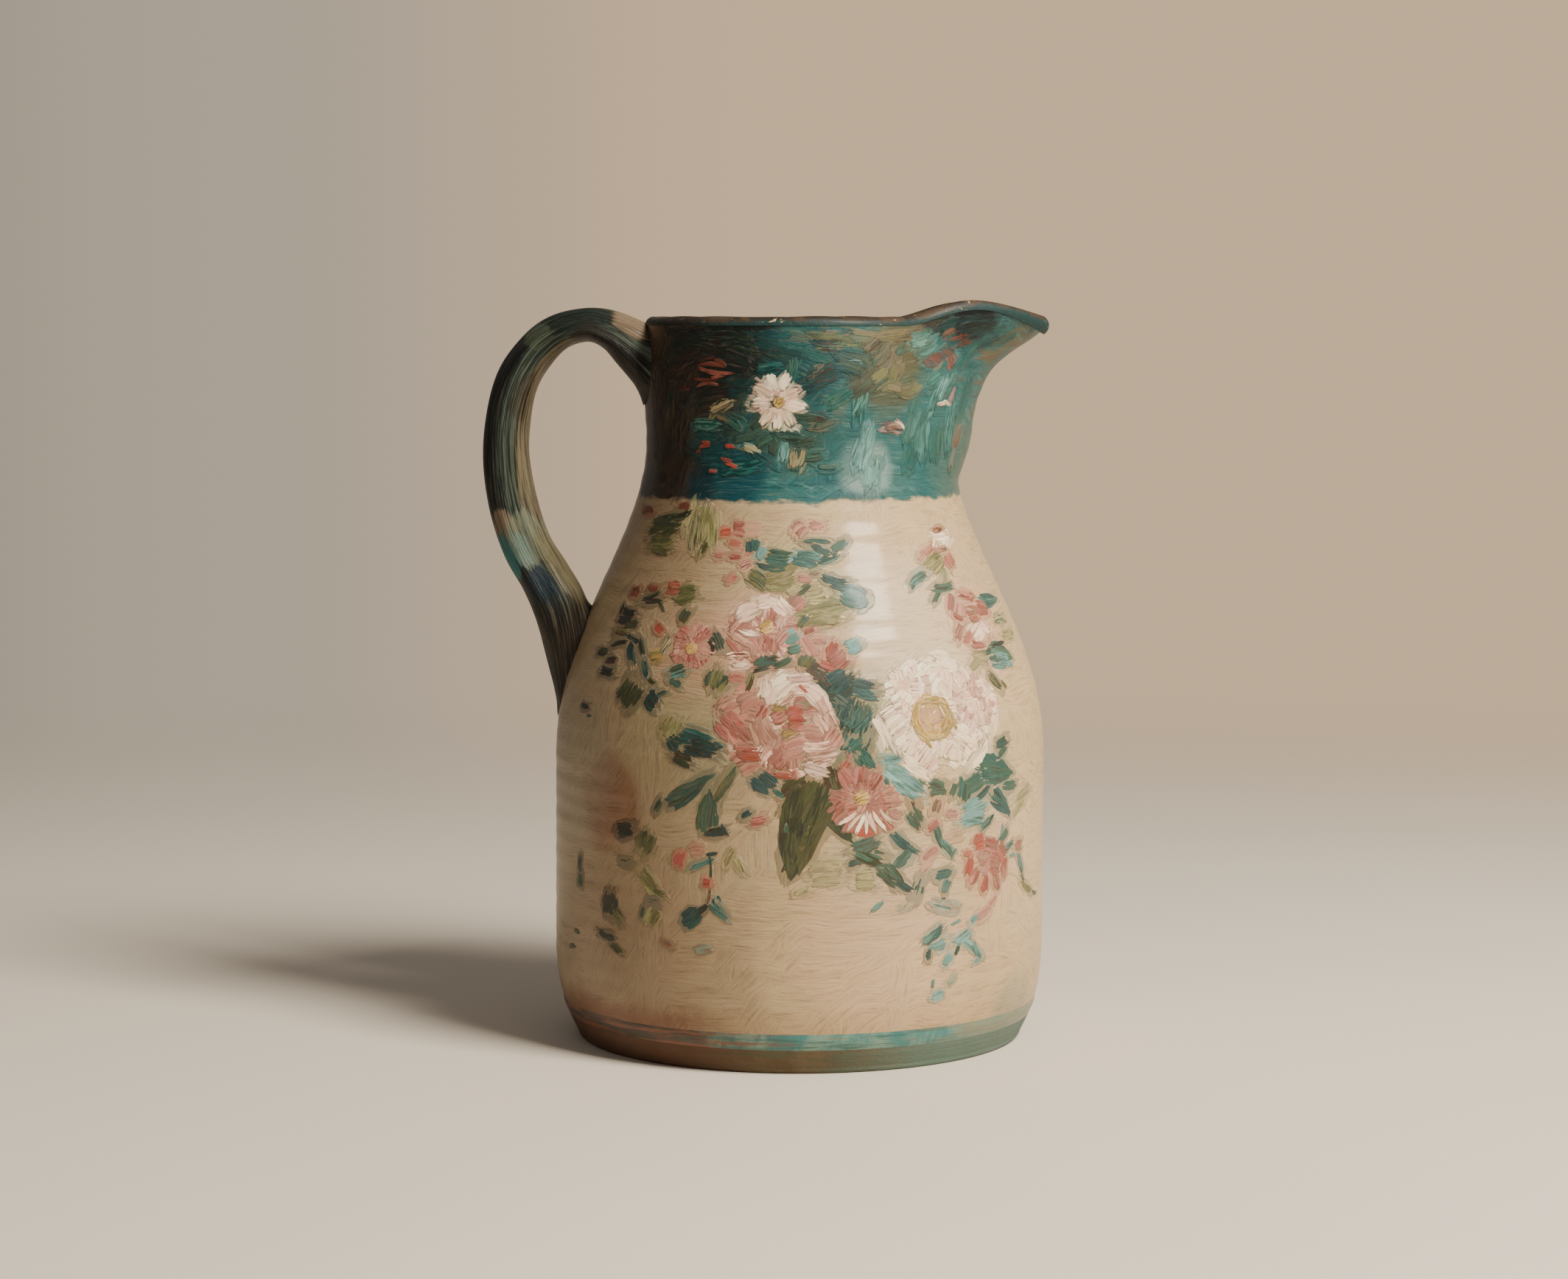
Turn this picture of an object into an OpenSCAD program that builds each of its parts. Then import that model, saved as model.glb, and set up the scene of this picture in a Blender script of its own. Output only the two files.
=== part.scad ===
// Ceramic pitcher: a round bellied jug with a straight coloured neck, a pulled beak spout and a strap handle.
// Millimetres. +Z is up, +X points to the spout, and the origin is the centre of the foot on the table.

/* [Body] */
// Radius of the belly at its widest
belly_r = 75; // [65:1:85]
// Radius of the foot where it meets the table
foot_r = 67.5; // [60:0.5:72]
// Height at which the neck is luted onto the body
body_h = 165; // [150:1:175]
// Height of the rounded heel, from the table to the full belly
heel_h = 30; // [20:1:40]
// Height at which the belly starts to draw in to the shoulder
belly_top = 85; // [70:1:100]
// Thickness of the thrown wall
wall_t = 4.8; // [4:0.2:6]
// Thickness of the floor of the pot
floor_t = 6; // [5:0.5:8]

/* [Foot] */
// Height of the bare clay foot
foot_h = 7.5; // [6:0.5:9]
// Depth of the turned recess under the foot
recess_h = 3.5; // [2:0.5:4]
// Width of the ring that stands on the table
foot_ring_w = 7; // [5:0.5:9]
// Width of the inlaid slip band above the foot
band_w = 5; // [3:0.5:8]
// Depth of the groove that holds the slip band
band_depth = 0.8; // [0.5:0.1:1.5]

/* [Neck] */
// Radius of the neck at its narrowest
neck_r = 46.8; // [42:0.2:50]
// Height of the rim above the table
rim_z = 220; // [210:1:230]
// How far the thrown neck swells between waist and rim
neck_swell = 0.8; // [0:0.1:2]
// Radius of the half-round bead on the rim
bead_r = 2.6; // [2.4:0.1:3]

/* [Spout] */
// Half of the angle that the spout takes out of the neck
spout_half_angle = 50; // [40:1:60]
// Reach of the spout's tip from the pot's axis
spout_reach = 75.4; // [68:0.2:80]
// Height of the two lobes beside the pouring lip
lobe_h = 4.8; // [0:0.2:8]

/* [Handle] */
// Width of the strap where it springs from the neck
strap_top_w = 26; // [20:1:30]
// Width of the strap at its narrowest
strap_mid_w = 20; // [16:1:24]
// Depth of the two finger grooves along each edge of the strap
reed_depth = 0.6; // [0:0.1:1]

/* [Hidden] */
$fn = 120;

waist_z = 182;                  // where the neck is narrowest
neck_top = rim_z - bead_r;      // seat of the rim bead
floor_top = recess_h + floor_t;
floor_lap = 1.5;                // how far the floor slab reaches over the foot ring
band_z = foot_h;                // the band starts right above the bare foot
profile_step = 4;               // height of one facet of the thrown wall
spout_facets = 20;              // facets round the spout
strap_stations = 56;            // cross-sections along the handle
section_points = 24;            // points round one cross-section of the handle

cream = "#cdb496";
teal = "#2f7f86";
dark_teal = "#1d3b3c";
clay = "#6b4a34";

// Handle centreline: drop below the rim, distance out from the pot's wall, thickness, share of the way from
// the strap's top width to its middle width
handle_keys = [
    [ 16.0, -6.5, 21.0, 0.0],
    [  9.6,  1.8, 16.5, 0.0],
    [  4.6,  9.6, 12.4, 0.2],
    [  2.3, 17.2, 10.4, 0.5],
    [  4.1, 25.1, 10.8, 0.8],
    [  9.4, 32.1, 12.0, 1.0],
    [ 18.0, 37.7, 12.8, 1.0],
    [ 29.5, 41.7, 13.5, 1.0],
    [ 42.0, 42.6, 14.0, 1.0],
    [ 57.0, 37.3, 14.8, 1.0],
    [ 70.0, 27.7, 15.0, 1.0],
    [ 79.8, 17.9, 15.4, 0.9],
    [ 88.5,  9.5, 16.4, 0.7],
    [ 99.0,  3.0, 15.2, 0.7],
    [110.0, -1.0, 10.4, 0.9],
    [121.0, -2.9,  5.6, 1.0]];
upper_root_end = 8;             // stations where one piece of the handle ends and the next begins
lower_root_start = 42;

// Throat of the spout along its middle: share of the neck's height, reach beyond the neck as a share of the tip's
throat_keys = [[0, 0], [0.10, 0.02], [0.22, 0.13], [0.34, 0.20], [0.50, 0.225], [0.62, 0.28],
               [0.74, 0.39], [0.84, 0.60], [0.92, 0.83], [0.97, 0.95], [1, 1]];

function smooth(t) = t * t * (3 - 2 * t);
function mix(a, b, t) = a + (b - a) * t;
function clamp01(t) = max(0, min(1, t));

// Smooth curve through keys whose first value is the place, by cubic Hermite spans
function span_at(keys, x, i = 0) = i >= len(keys) - 2 || x <= keys[i + 1][0] ? i : span_at(keys, x, i + 1);
function key_slope(keys, i) =
    let (a = keys[max(0, i - 1)], b = keys[min(len(keys) - 1, i + 1)]) (b[1] - a[1]) / (b[0] - a[0]);
function along(keys, x) =
    let (i = span_at(keys, x), a = keys[i], b = keys[i + 1], h = b[0] - a[0], t = (x - a[0]) / h)
    a[1] * (1 - smooth(t)) + b[1] * smooth(t)
    + h * t * (1 - t) * (key_slope(keys, i) * (1 - t) - key_slope(keys, i + 1) * t);

// Outer radius of the thrown pot at a height
function outline(z) =
    z < heel_h ? belly_r - (belly_r - foot_r) * pow(1 - z / heel_h, 2.4)
    : z < belly_top ? belly_r
    : z < waist_z ? belly_r - (belly_r - neck_r) * smooth(pow((z - belly_top) / (waist_z - belly_top), 1.15))
    : neck_r + neck_swell * pow(sin(180 * (z - waist_z) / (rim_z - waist_z)), 2);

// Inner radius: the wall is even, with a rounded heel inside
heel_round = 22;
function bore(z) =
    outline(z) - wall_t - 3.4 * pow(1 - clamp01((z - floor_top) / heel_round), 3);

// Even steps from one height to another, both ends included
function heights(z0, z1, step = profile_step) =
    let (n = max(1, round((z1 - z0) / step))) [for (i = [0:n]) z0 + (z1 - z0) * i / n];
function reversed(list) = [for (i = [len(list) - 1:-1:0]) list[i]];

// Closed solid through loops that all have the same even number of points; the ends are capped in strips
module skin(loops) {
    n = len(loops[0]);
    last = (len(loops) - 1) * n;
    sides = [for (i = [0:len(loops) - 2], j = [0:n - 1]) let (a = i * n + j, b = i * n + (j + 1) % n)
        each [[a, b, b + n], [a, b + n, a + n]]];
    start = [for (j = [0:n / 2 - 2]) each [[j + 1, j, n - 1 - j], [j + 1, n - 1 - j, n - 2 - j]]];
    end = [for (f = start) [f[1] + last, f[0] + last, f[2] + last]];
    polyhedron([for (loop = loops) each loop], concat(sides, start, end), convexity = 8);
}

// ---- Foot and floor ----

module foot_ring() {
    floor_seat_r = foot_r - foot_ring_w + floor_lap;
    color(clay) rotate_extrude() polygon(concat(
        [[foot_r - foot_ring_w + 0.6, 0], [foot_r - 0.8, 0]],
        [for (z = heights(0.8, foot_h, 1.6)) [outline(z), z]],
        [[floor_seat_r, foot_h], [floor_seat_r, recess_h], [foot_r - foot_ring_w, recess_h],
         [foot_r - foot_ring_w, 0.6]]));
}

module base_floor() {
    color(cream) translate([0, 0, recess_h]) cylinder(r = foot_r - foot_ring_w + floor_lap, h = floor_t);
}

// Slip laid in a turned groove, standing a little proud of the wall
module foot_band() {
    proud = 0.25;
    levels = heights(band_z, band_z + band_w, 1);
    color(teal) rotate_extrude() polygon(concat(
        [for (z = levels) [outline(z) + proud * sin(180 * (z - band_z) / band_w), z]],
        reversed([for (z = levels) [outline(z) - band_depth, z]])));
}

// ---- Thrown wall ----

// The belly and the shoulder are thrown apart and joined where the belly starts to draw in
module belly_wall() {
    floor_seat_r = foot_r - foot_ring_w + floor_lap;
    color(cream) rotate_extrude() polygon(concat(
        [for (z = heights(band_z, band_z + band_w, 1)) [outline(z) - band_depth, z]],
        [for (z = heights(band_z + band_w, belly_top)) [outline(z), z]],
        reversed([for (z = heights(floor_top, belly_top)) [bore(z), z]]),
        [[floor_seat_r, floor_top], [floor_seat_r, foot_h]]));
}

module shoulder_wall() {
    levels = heights(belly_top, body_h);
    color(cream) rotate_extrude()
        polygon(concat([for (z = levels) [outline(z), z]], reversed([for (z = levels) [bore(z), z]])));
}

module neck_collar() {
    levels = heights(body_h, neck_top);
    color(teal) rotate([0, 0, spout_half_angle]) rotate_extrude(angle = 360 - 2 * spout_half_angle)
        polygon(concat([for (z = levels) [outline(z), z]], reversed([for (z = levels) [bore(z), z]])));
}

function bead_loop() = [for (a = [0:20:180]) [cos(a) * bead_r, sin(a) * bead_r]];

module rim_bead() {
    middle_r = (outline(neck_top) + bore(neck_top)) / 2;
    color(clay) rotate([0, 0, spout_half_angle]) rotate_extrude(angle = 360 - 2 * spout_half_angle)
        translate([middle_r, neck_top]) polygon(bead_loop());
}

// ---- Spout ----

// How much of the throat's reach is left at a share of the way round to the neck, round-nosed in the middle
function flank(share, nose) =
    let (far = sqrt(1 + nose * nose))
    pow((far - sqrt(share * share + nose * nose)) / (far - nose), 2.2);

// Height of the lip above the neck's own seat, at a share of the way round
function lobe(share) = lobe_h * pow(sin(180 * pow(share, 0.8)), 2.4);

// Extra radius of the spout at an angle and at a share of the neck's height
function throat(angle, up) =
    let (share = abs(angle) / spout_half_angle, nose = mix(0.45, 0.16, up))
    (spout_reach - outline(neck_top)) * along(throat_keys, up) * flank(share, nose);

function spout_z(angle, up) = mix(body_h, neck_top + lobe(abs(angle) / spout_half_angle), up);

// One upright section of the spout: up the outside and down the inside
function spout_loop(angle) =
    let (levels = heights(body_h, neck_top), n = len(levels) - 1,
         out = [for (i = [0:n]) [outline(levels[i]) + throat(angle, i / n), spout_z(angle, i / n)]],
         in = [for (i = [0:n]) [bore(levels[i]) + throat(angle, i / n), spout_z(angle, i / n)]])
    [for (p = concat(out, reversed(in))) [p[0] * cos(angle), p[0] * sin(angle), p[1]]];

// The bead that runs along the edge of the beak
function lip_loop(angle) =
    let (middle_r = (outline(neck_top) + bore(neck_top)) / 2 + throat(angle, 1), seat = spout_z(angle, 1))
    [for (p = bead_loop()) [(middle_r + p[0]) * cos(angle), (middle_r + p[0]) * sin(angle), seat + p[1]]];

spout_angles = [for (i = [0:spout_facets]) spout_half_angle * (2 * i / spout_facets - 1)];

module spout_beak() {
    color(teal) skin([for (a = spout_angles) spout_loop(a)]);
}

module spout_lip_bead() {
    color(clay) skin([for (a = spout_angles) lip_loop(a)]);
}

// ---- Handle ----

// The keys placed in the XZ plane: x, z, thickness, share of the width
handle_points = [for (k = handle_keys) [-outline(rim_z - k[0]) - k[1], rim_z - k[0], k[2], k[3]]];

// A point of the handle at a station, by Catmull-Rom spans
function strap_at(station) =
    let (last = len(handle_points) - 1, s = station / strap_stations * last, i = min(floor(s), last - 1), t = s - i,
         p0 = handle_points[max(0, i - 1)], p1 = handle_points[i], p2 = handle_points[i + 1],
         p3 = handle_points[min(last, i + 2)])
    0.5 * (2 * p1 + (p2 - p0) * t + (2 * p0 - 5 * p1 + 4 * p2 - p3) * t * t
           + (3 * p1 - p0 - 3 * p2 + p3) * t * t * t);

function signed_pow(v, e) = sign(v) * pow(abs(v), e);

// Cross-section: a flattened oval with two shallow grooves along each edge
function strap_loop(station) =
    let (here = strap_at(station), ahead = strap_at(min(strap_stations, station + 0.5)),
         behind = strap_at(max(0, station - 0.5)),
         run = [ahead[0] - behind[0], ahead[1] - behind[1]], out = [run[1], -run[0]] / norm(run),
         width = mix(strap_top_w, strap_mid_w, here[3]))
    [for (k = [0:section_points - 1])
        let (a = 360 * k / section_points,
             n = here[2] / 2 * signed_pow(cos(a), 0.85),
             y = (width / 2 - reed_depth * pow(sin(a), 2) * (0.5 - 0.5 * cos(6 * a))) * signed_pow(sin(a), 0.7))
        [here[0] + out[0] * n, y, here[1] + out[1] * n]];

// The solid outside of the pot, which the handle's ends are fitted to
module pot_form() {
    rotate_extrude() polygon(concat([[0, 0]], [for (z = heights(0, neck_top)) [outline(z), z]], [[0, neck_top]]));
}

module strap(first, last) {
    skin([for (s = [first:last]) strap_loop(s)]);
}

module handle_strap() {
    color(dark_teal) strap(upper_root_end, lower_root_start);
}

module handle_upper_root() {
    color(dark_teal) difference() {
        strap(0, upper_root_end);
        pot_form();
    }
}

module handle_lower_root() {
    color(dark_teal) difference() {
        strap(lower_root_start, strap_stations);
        pot_form();
    }
}

foot_ring();
base_floor();
foot_band();
belly_wall();
shoulder_wall();
neck_collar();
rim_bead();
spout_beak();
spout_lip_bead();
handle_strap();
handle_upper_root();
handle_lower_root();
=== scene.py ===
"""A ceramic pitcher with a teal neck, a cream body and painted flowers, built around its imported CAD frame.

Blender works in metres. The shape functions below work in millimetres and repeat the CAD source's formulas.
Azimuth is in degrees round the pot's axis: 0 faces the viewer, 90 is the spout and -90 is the handle.
"""
import math

import bpy
import numpy as np
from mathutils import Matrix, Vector


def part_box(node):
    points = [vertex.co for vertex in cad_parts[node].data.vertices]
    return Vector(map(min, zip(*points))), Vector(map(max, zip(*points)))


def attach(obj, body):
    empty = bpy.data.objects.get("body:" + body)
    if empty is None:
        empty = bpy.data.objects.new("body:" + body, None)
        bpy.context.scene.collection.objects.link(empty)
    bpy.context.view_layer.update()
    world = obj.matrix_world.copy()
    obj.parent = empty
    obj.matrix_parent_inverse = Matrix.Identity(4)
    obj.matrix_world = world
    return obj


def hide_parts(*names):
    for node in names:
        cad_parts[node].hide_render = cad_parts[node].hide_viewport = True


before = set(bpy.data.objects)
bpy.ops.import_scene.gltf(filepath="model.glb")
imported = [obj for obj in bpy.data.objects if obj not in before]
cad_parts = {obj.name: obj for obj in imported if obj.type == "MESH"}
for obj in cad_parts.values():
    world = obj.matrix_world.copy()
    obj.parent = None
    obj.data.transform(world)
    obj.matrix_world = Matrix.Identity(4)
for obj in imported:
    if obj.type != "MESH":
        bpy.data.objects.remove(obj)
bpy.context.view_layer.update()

MM = 0.001


# ---- The pot's form, as in the CAD source ----

def top_of(node):
    return round(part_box(node)[1].z / MM, 1)


BELLY_R = round(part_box("belly_wall")[1].x / MM, 1)
SPOUT_REACH = round(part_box("spout_beak")[1].x / MM, 1)
BELLY_TOP = top_of("belly_wall")
BODY_H = top_of("shoulder_wall")
NECK_TOP = top_of("neck_collar")
RIM_Z = top_of("rim_bead")
FLOOR_TOP = top_of("base_floor")
FOOT_H = top_of("foot_ring")
BAND_TOP = top_of("foot_band")
BEAD_R = RIM_Z - NECK_TOP
RECESS_H = round(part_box("base_floor")[0].z / MM, 1)
FLOOR_R = round(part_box("base_floor")[1].x / MM, 1)
FOOT_R = 67.5
FOOT_RING_W = 7.0
HEEL_H = 30.0
WAIST_Z = 182.0
NECK_R = 46.8
NECK_SWELL = 0.8
WALL = 4.8
SPOUT_HALF = 50.0
LOBE_H = 4.8
SPOUT_AZIMUTH = 90.0
HEEL_CURVE, SHOULDER_CURVE = 2.4, 1.15
INNER_HEEL_H, INNER_HEEL_FILL = 22.0, 3.4
NOSE_BELOW, NOSE_SHARPENING, FLANK_CURVE = 0.45, 0.29, 2.2
LOBE_SKEW, LOBE_CURVE = 0.8, 2.4

# height up the neck and share of the spout's reach there
THROAT_KEYS = np.array([(0, 0), (0.10, 0.02), (0.22, 0.13), (0.34, 0.20), (0.50, 0.225), (0.62, 0.28),
                        (0.74, 0.39), (0.84, 0.60), (0.92, 0.83), (0.97, 0.95), (1, 1)], float)


def smooth(t):
    return t * t * (3 - 2 * t)


def along_keys(keys, x):
    """Cubic Hermite curve through keys of place and value."""
    place, value = keys[:, 0], keys[:, 1]
    last = len(keys) - 1
    slope = np.array([(value[min(last, i + 1)] - value[max(0, i - 1)])
                      / (place[min(last, i + 1)] - place[max(0, i - 1)]) for i in range(last + 1)])
    x = np.clip(x, place[0], place[-1])
    i = np.clip(np.searchsorted(place, x, side="left") - 1, 0, last - 1)
    span = place[i + 1] - place[i]
    t = (x - place[i]) / span
    level = value[i] * (1 - smooth(t)) + value[i + 1] * smooth(t)
    return level + span * t * (1 - t) * (slope[i] * (1 - t) - slope[i + 1] * t)


def outline(z):
    """Outer radius of the thrown pot at a height."""
    z = np.asarray(z, float)
    heel = BELLY_R - (BELLY_R - FOOT_R) * np.clip(1 - z / HEEL_H, 0, 1) ** HEEL_CURVE
    climb = np.clip((z - BELLY_TOP) / (WAIST_Z - BELLY_TOP), 0, 1) ** SHOULDER_CURVE
    shoulder = BELLY_R - (BELLY_R - NECK_R) * smooth(climb)
    swell = NECK_R + NECK_SWELL * np.sin(np.pi * np.clip((z - WAIST_Z) / (RIM_Z - WAIST_Z), 0, 1)) ** 2
    return np.where(z < HEEL_H, heel, np.where(z < WAIST_Z, shoulder, swell))


def radius_at(z):
    return float(outline(z))


def bore(z):
    """Inner radius: an even wall with a rounded heel."""
    return outline(z) - WALL - INNER_HEEL_FILL * np.clip(1 - (z - FLOOR_TOP) / INNER_HEEL_H, 0, 1) ** 3


def share_of_spout(azimuth):
    """0 in the middle of the spout, 1 at its sides and beyond."""
    away = (np.asarray(azimuth, float) - SPOUT_AZIMUTH + 180) % 360 - 180
    return np.clip(np.abs(away) / SPOUT_HALF, 0, 1)


def share_of_neck(z):
    return np.clip((np.asarray(z, float) - BODY_H) / (NECK_TOP - BODY_H), 0, 1)


def throat(azimuth, z):
    """Extra radius of the spout, whose nose grows sharper towards the lip."""
    share, up = share_of_spout(azimuth), share_of_neck(z)
    nose = NOSE_BELOW - NOSE_SHARPENING * up
    far = np.sqrt(1 + nose * nose)
    flank = np.clip((far - np.sqrt(share * share + nose * nose)) / (far - nose), 0, 1) ** FLANK_CURVE
    return (SPOUT_REACH - outline(NECK_TOP)) * along_keys(THROAT_KEYS, up) * flank


def lobe(azimuth, z):
    """Extra height of the two lobes beside the pouring lip."""
    return LOBE_H * share_of_neck(z) * np.sin(np.pi * share_of_spout(azimuth) ** LOBE_SKEW) ** LOBE_CURVE


def hand(azimuth, z):
    """The potter's hand: a slightly uneven round and faint throwing ridges."""
    a = np.radians(azimuth)
    uneven = 0.16 * np.sin(2 * a + 0.7) + 0.10 * np.sin(3 * a - 0.03 * z)
    uneven = uneven + 0.07 * np.sin(5 * a + 0.05 * z + 2)
    ridges = 0.05 * np.sin(z * 1.05 + a) + 0.035 * np.sin(z * 0.61 - 2 * a + 1.3)
    return (uneven + ridges) * np.clip((z - BAND_TOP) / 10, 0, 1) * np.clip((RIM_Z - 6 - z) / 14, 0, 1)


def place(azimuth, radius, z):
    a = np.radians(azimuth)
    return np.stack(np.broadcast_arrays(radius * np.sin(a), -radius * np.cos(a), z), -1)


def skin(azimuth, z):
    """A point of the glazed outside. z is the height before the spout's lobes lift it."""
    return place(azimuth, outline(z) + throat(azimuth, z) + hand(azimuth, z), z + lobe(azimuth, z))


def lining(azimuth, z):
    """A point of the glazed inside."""
    return place(azimuth, bore(z) + throat(azimuth, z), z + lobe(azimuth, z))


def skin_radius(azimuth, z):
    return float(np.hypot(*skin(azimuth, z)[:2]))


def unit(v):
    return v / np.maximum(np.linalg.norm(v, axis=-1, keepdims=True), 1e-9)


def skin_axes(surface, azimuth, z):
    """Unit vectors round the pot, up its wall and out of it."""
    step = 0.05
    around = unit(surface(azimuth + step, z) - surface(azimuth - step, z))
    up = unit(surface(azimuth, z + step) - surface(azimuth, z - step))
    return around, up, unit(np.cross(around, up))


# ---- Meshes ----

def solid(name, patches, attributes=()):
    """One closed mesh from patches of quads that share their edges.

    A patch is a grid of points in millimetres with the grid's own normals, for a smooth surface, or with
    the one direction that a flat patch faces. An attribute is a name and a grid of values for each patch."""
    points = np.concatenate([p.reshape(-1, 3) for p, _ in patches])
    _, first, index = np.unique(np.round(points, 3), axis=0, return_index=True, return_inverse=True)
    index = index.reshape(-1)
    faces, corner_normals = [], []
    start = 0
    for grid, facing in patches:
        rows, cols = grid.shape[:2]
        ids = index[start:start + rows * cols].reshape(rows, cols)
        start += rows * cols
        flat = np.ndim(facing) == 1
        for i in range(rows - 1):
            for j in range(cols - 1):
                corners = [(i, j), (i + 1, j), (i + 1, j + 1), (i, j + 1)]
                kept = [c for k, c in enumerate(corners) if ids[c] != ids[corners[k - 1]]]
                if len(kept) < 3:
                    continue
                across = np.cross(grid[kept[1]] - grid[kept[0]], grid[kept[-1]] - grid[kept[0]])
                wanted = facing if flat else facing[i, j] + facing[i + 1, j + 1]
                if across @ wanted < 0:
                    kept.reverse()
                    across = -across
                faces.append([int(ids[c]) for c in kept])
                corner_normals.extend([unit(across)] * len(kept) if flat else [facing[c] for c in kept])
    mesh = bpy.data.meshes.new(name)
    mesh.from_pydata((points[first] * MM).tolist(), [], faces)
    mesh.shade_smooth()
    mesh.normals_split_custom_set([tuple(n) for n in corner_normals])
    for label, grids in attributes:
        values = np.concatenate([np.asarray(g, float).reshape(-1, 3) for g in grids])[first]
        mesh.attributes.new(label, "FLOAT_VECTOR", "POINT").data.foreach_set("vector", values.ravel())
    return add_piece(name, mesh)


def add_piece(name, mesh):
    piece = bpy.data.objects.new(name, mesh)
    bpy.context.scene.collection.objects.link(piece)
    return piece


def finish_piece(piece, material, slot, *nodes):
    """The piece rides on the pot, takes its material and stands for the CAD nodes."""
    piece.data.materials.append(material)
    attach(piece, "root")
    if nodes:
        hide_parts(*nodes)


INSIDE, OUTSIDE = (1, 0, 0), (0, 0, 0)
TURN_STEPS = 288


def full_turn():
    return np.linspace(-180, 180, TURN_STEPS + 1)


def end_fan(row):
    """A closed ring of points folded into two rows, which cap the ring."""
    half = (len(row) - 1) // 2
    return np.stack([row[:half + 1], row[half:][::-1]], 0)


def wall(name, azimuths, z_out, z_in, capped):
    """A stretch of the pot's wall, between its glazed outside and inside."""
    a, zo = np.meshgrid(azimuths, z_out, indexing="ij")
    _, zi = np.meshgrid(azimuths, z_in, indexing="ij")
    out, lin = skin(a, zo), lining(a, zi)
    out_normals, in_normals = skin_axes(skin, a, zo)[2], -skin_axes(lining, a, zi)[2]
    patches = [(out, out_normals), (lin, in_normals)]
    patches.append((np.stack([out[:, -1], lin[:, -1]], 1), np.array((0, 0, 1.0))))
    patches.append((np.stack([out[:, 0], lin[:, 0]], 1), np.array((0, 0, -1.0))))
    if capped:
        for end, sign in ((0, -1), (-1, 1)):
            facing = sign * skin_axes(skin, a[end, 0], zo[end, 0])[0]
            patches.append((np.stack([out[end], lin[end]], 0), facing))
    sides = [OUTSIDE] + [INSIDE] * (len(patches) - 1)
    side_grids = [np.broadcast_to(side, grid.shape) for side, (grid, _) in zip(sides, patches)]
    return solid(name, patches, [("side", side_grids)])


def turned(name, runs):
    """A full turn of a profile made of smooth runs of radius and height.

    The runs go round the section anticlockwise: up the outside, in along the top, down the inside and out."""
    patches = []
    for run in runs:
        run = np.asarray(run, float)
        slope = np.gradient(run, axis=0)
        outward = unit(np.stack([slope[:, 1], -slope[:, 0]], -1))
        a, r = np.meshgrid(full_turn(), run[:, 0], indexing="ij")
        z = np.broadcast_to(run[:, 1], r.shape)
        facing = place(a, np.broadcast_to(outward[:, 0], r.shape), np.broadcast_to(outward[:, 1], r.shape))
        patches.append((place(a, r, z), facing))
    return solid(name, patches)


# ---- Shaders ----

def colour(red, green, blue):
    """Linear colour from the usual 0 to 255 values."""
    parts = [c / 255 for c in (red, green, blue)]
    return tuple(c / 12.92 if c <= 0.04045 else ((c + 0.055) / 1.055) ** 2.4 for c in parts) + (1.0,)


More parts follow.
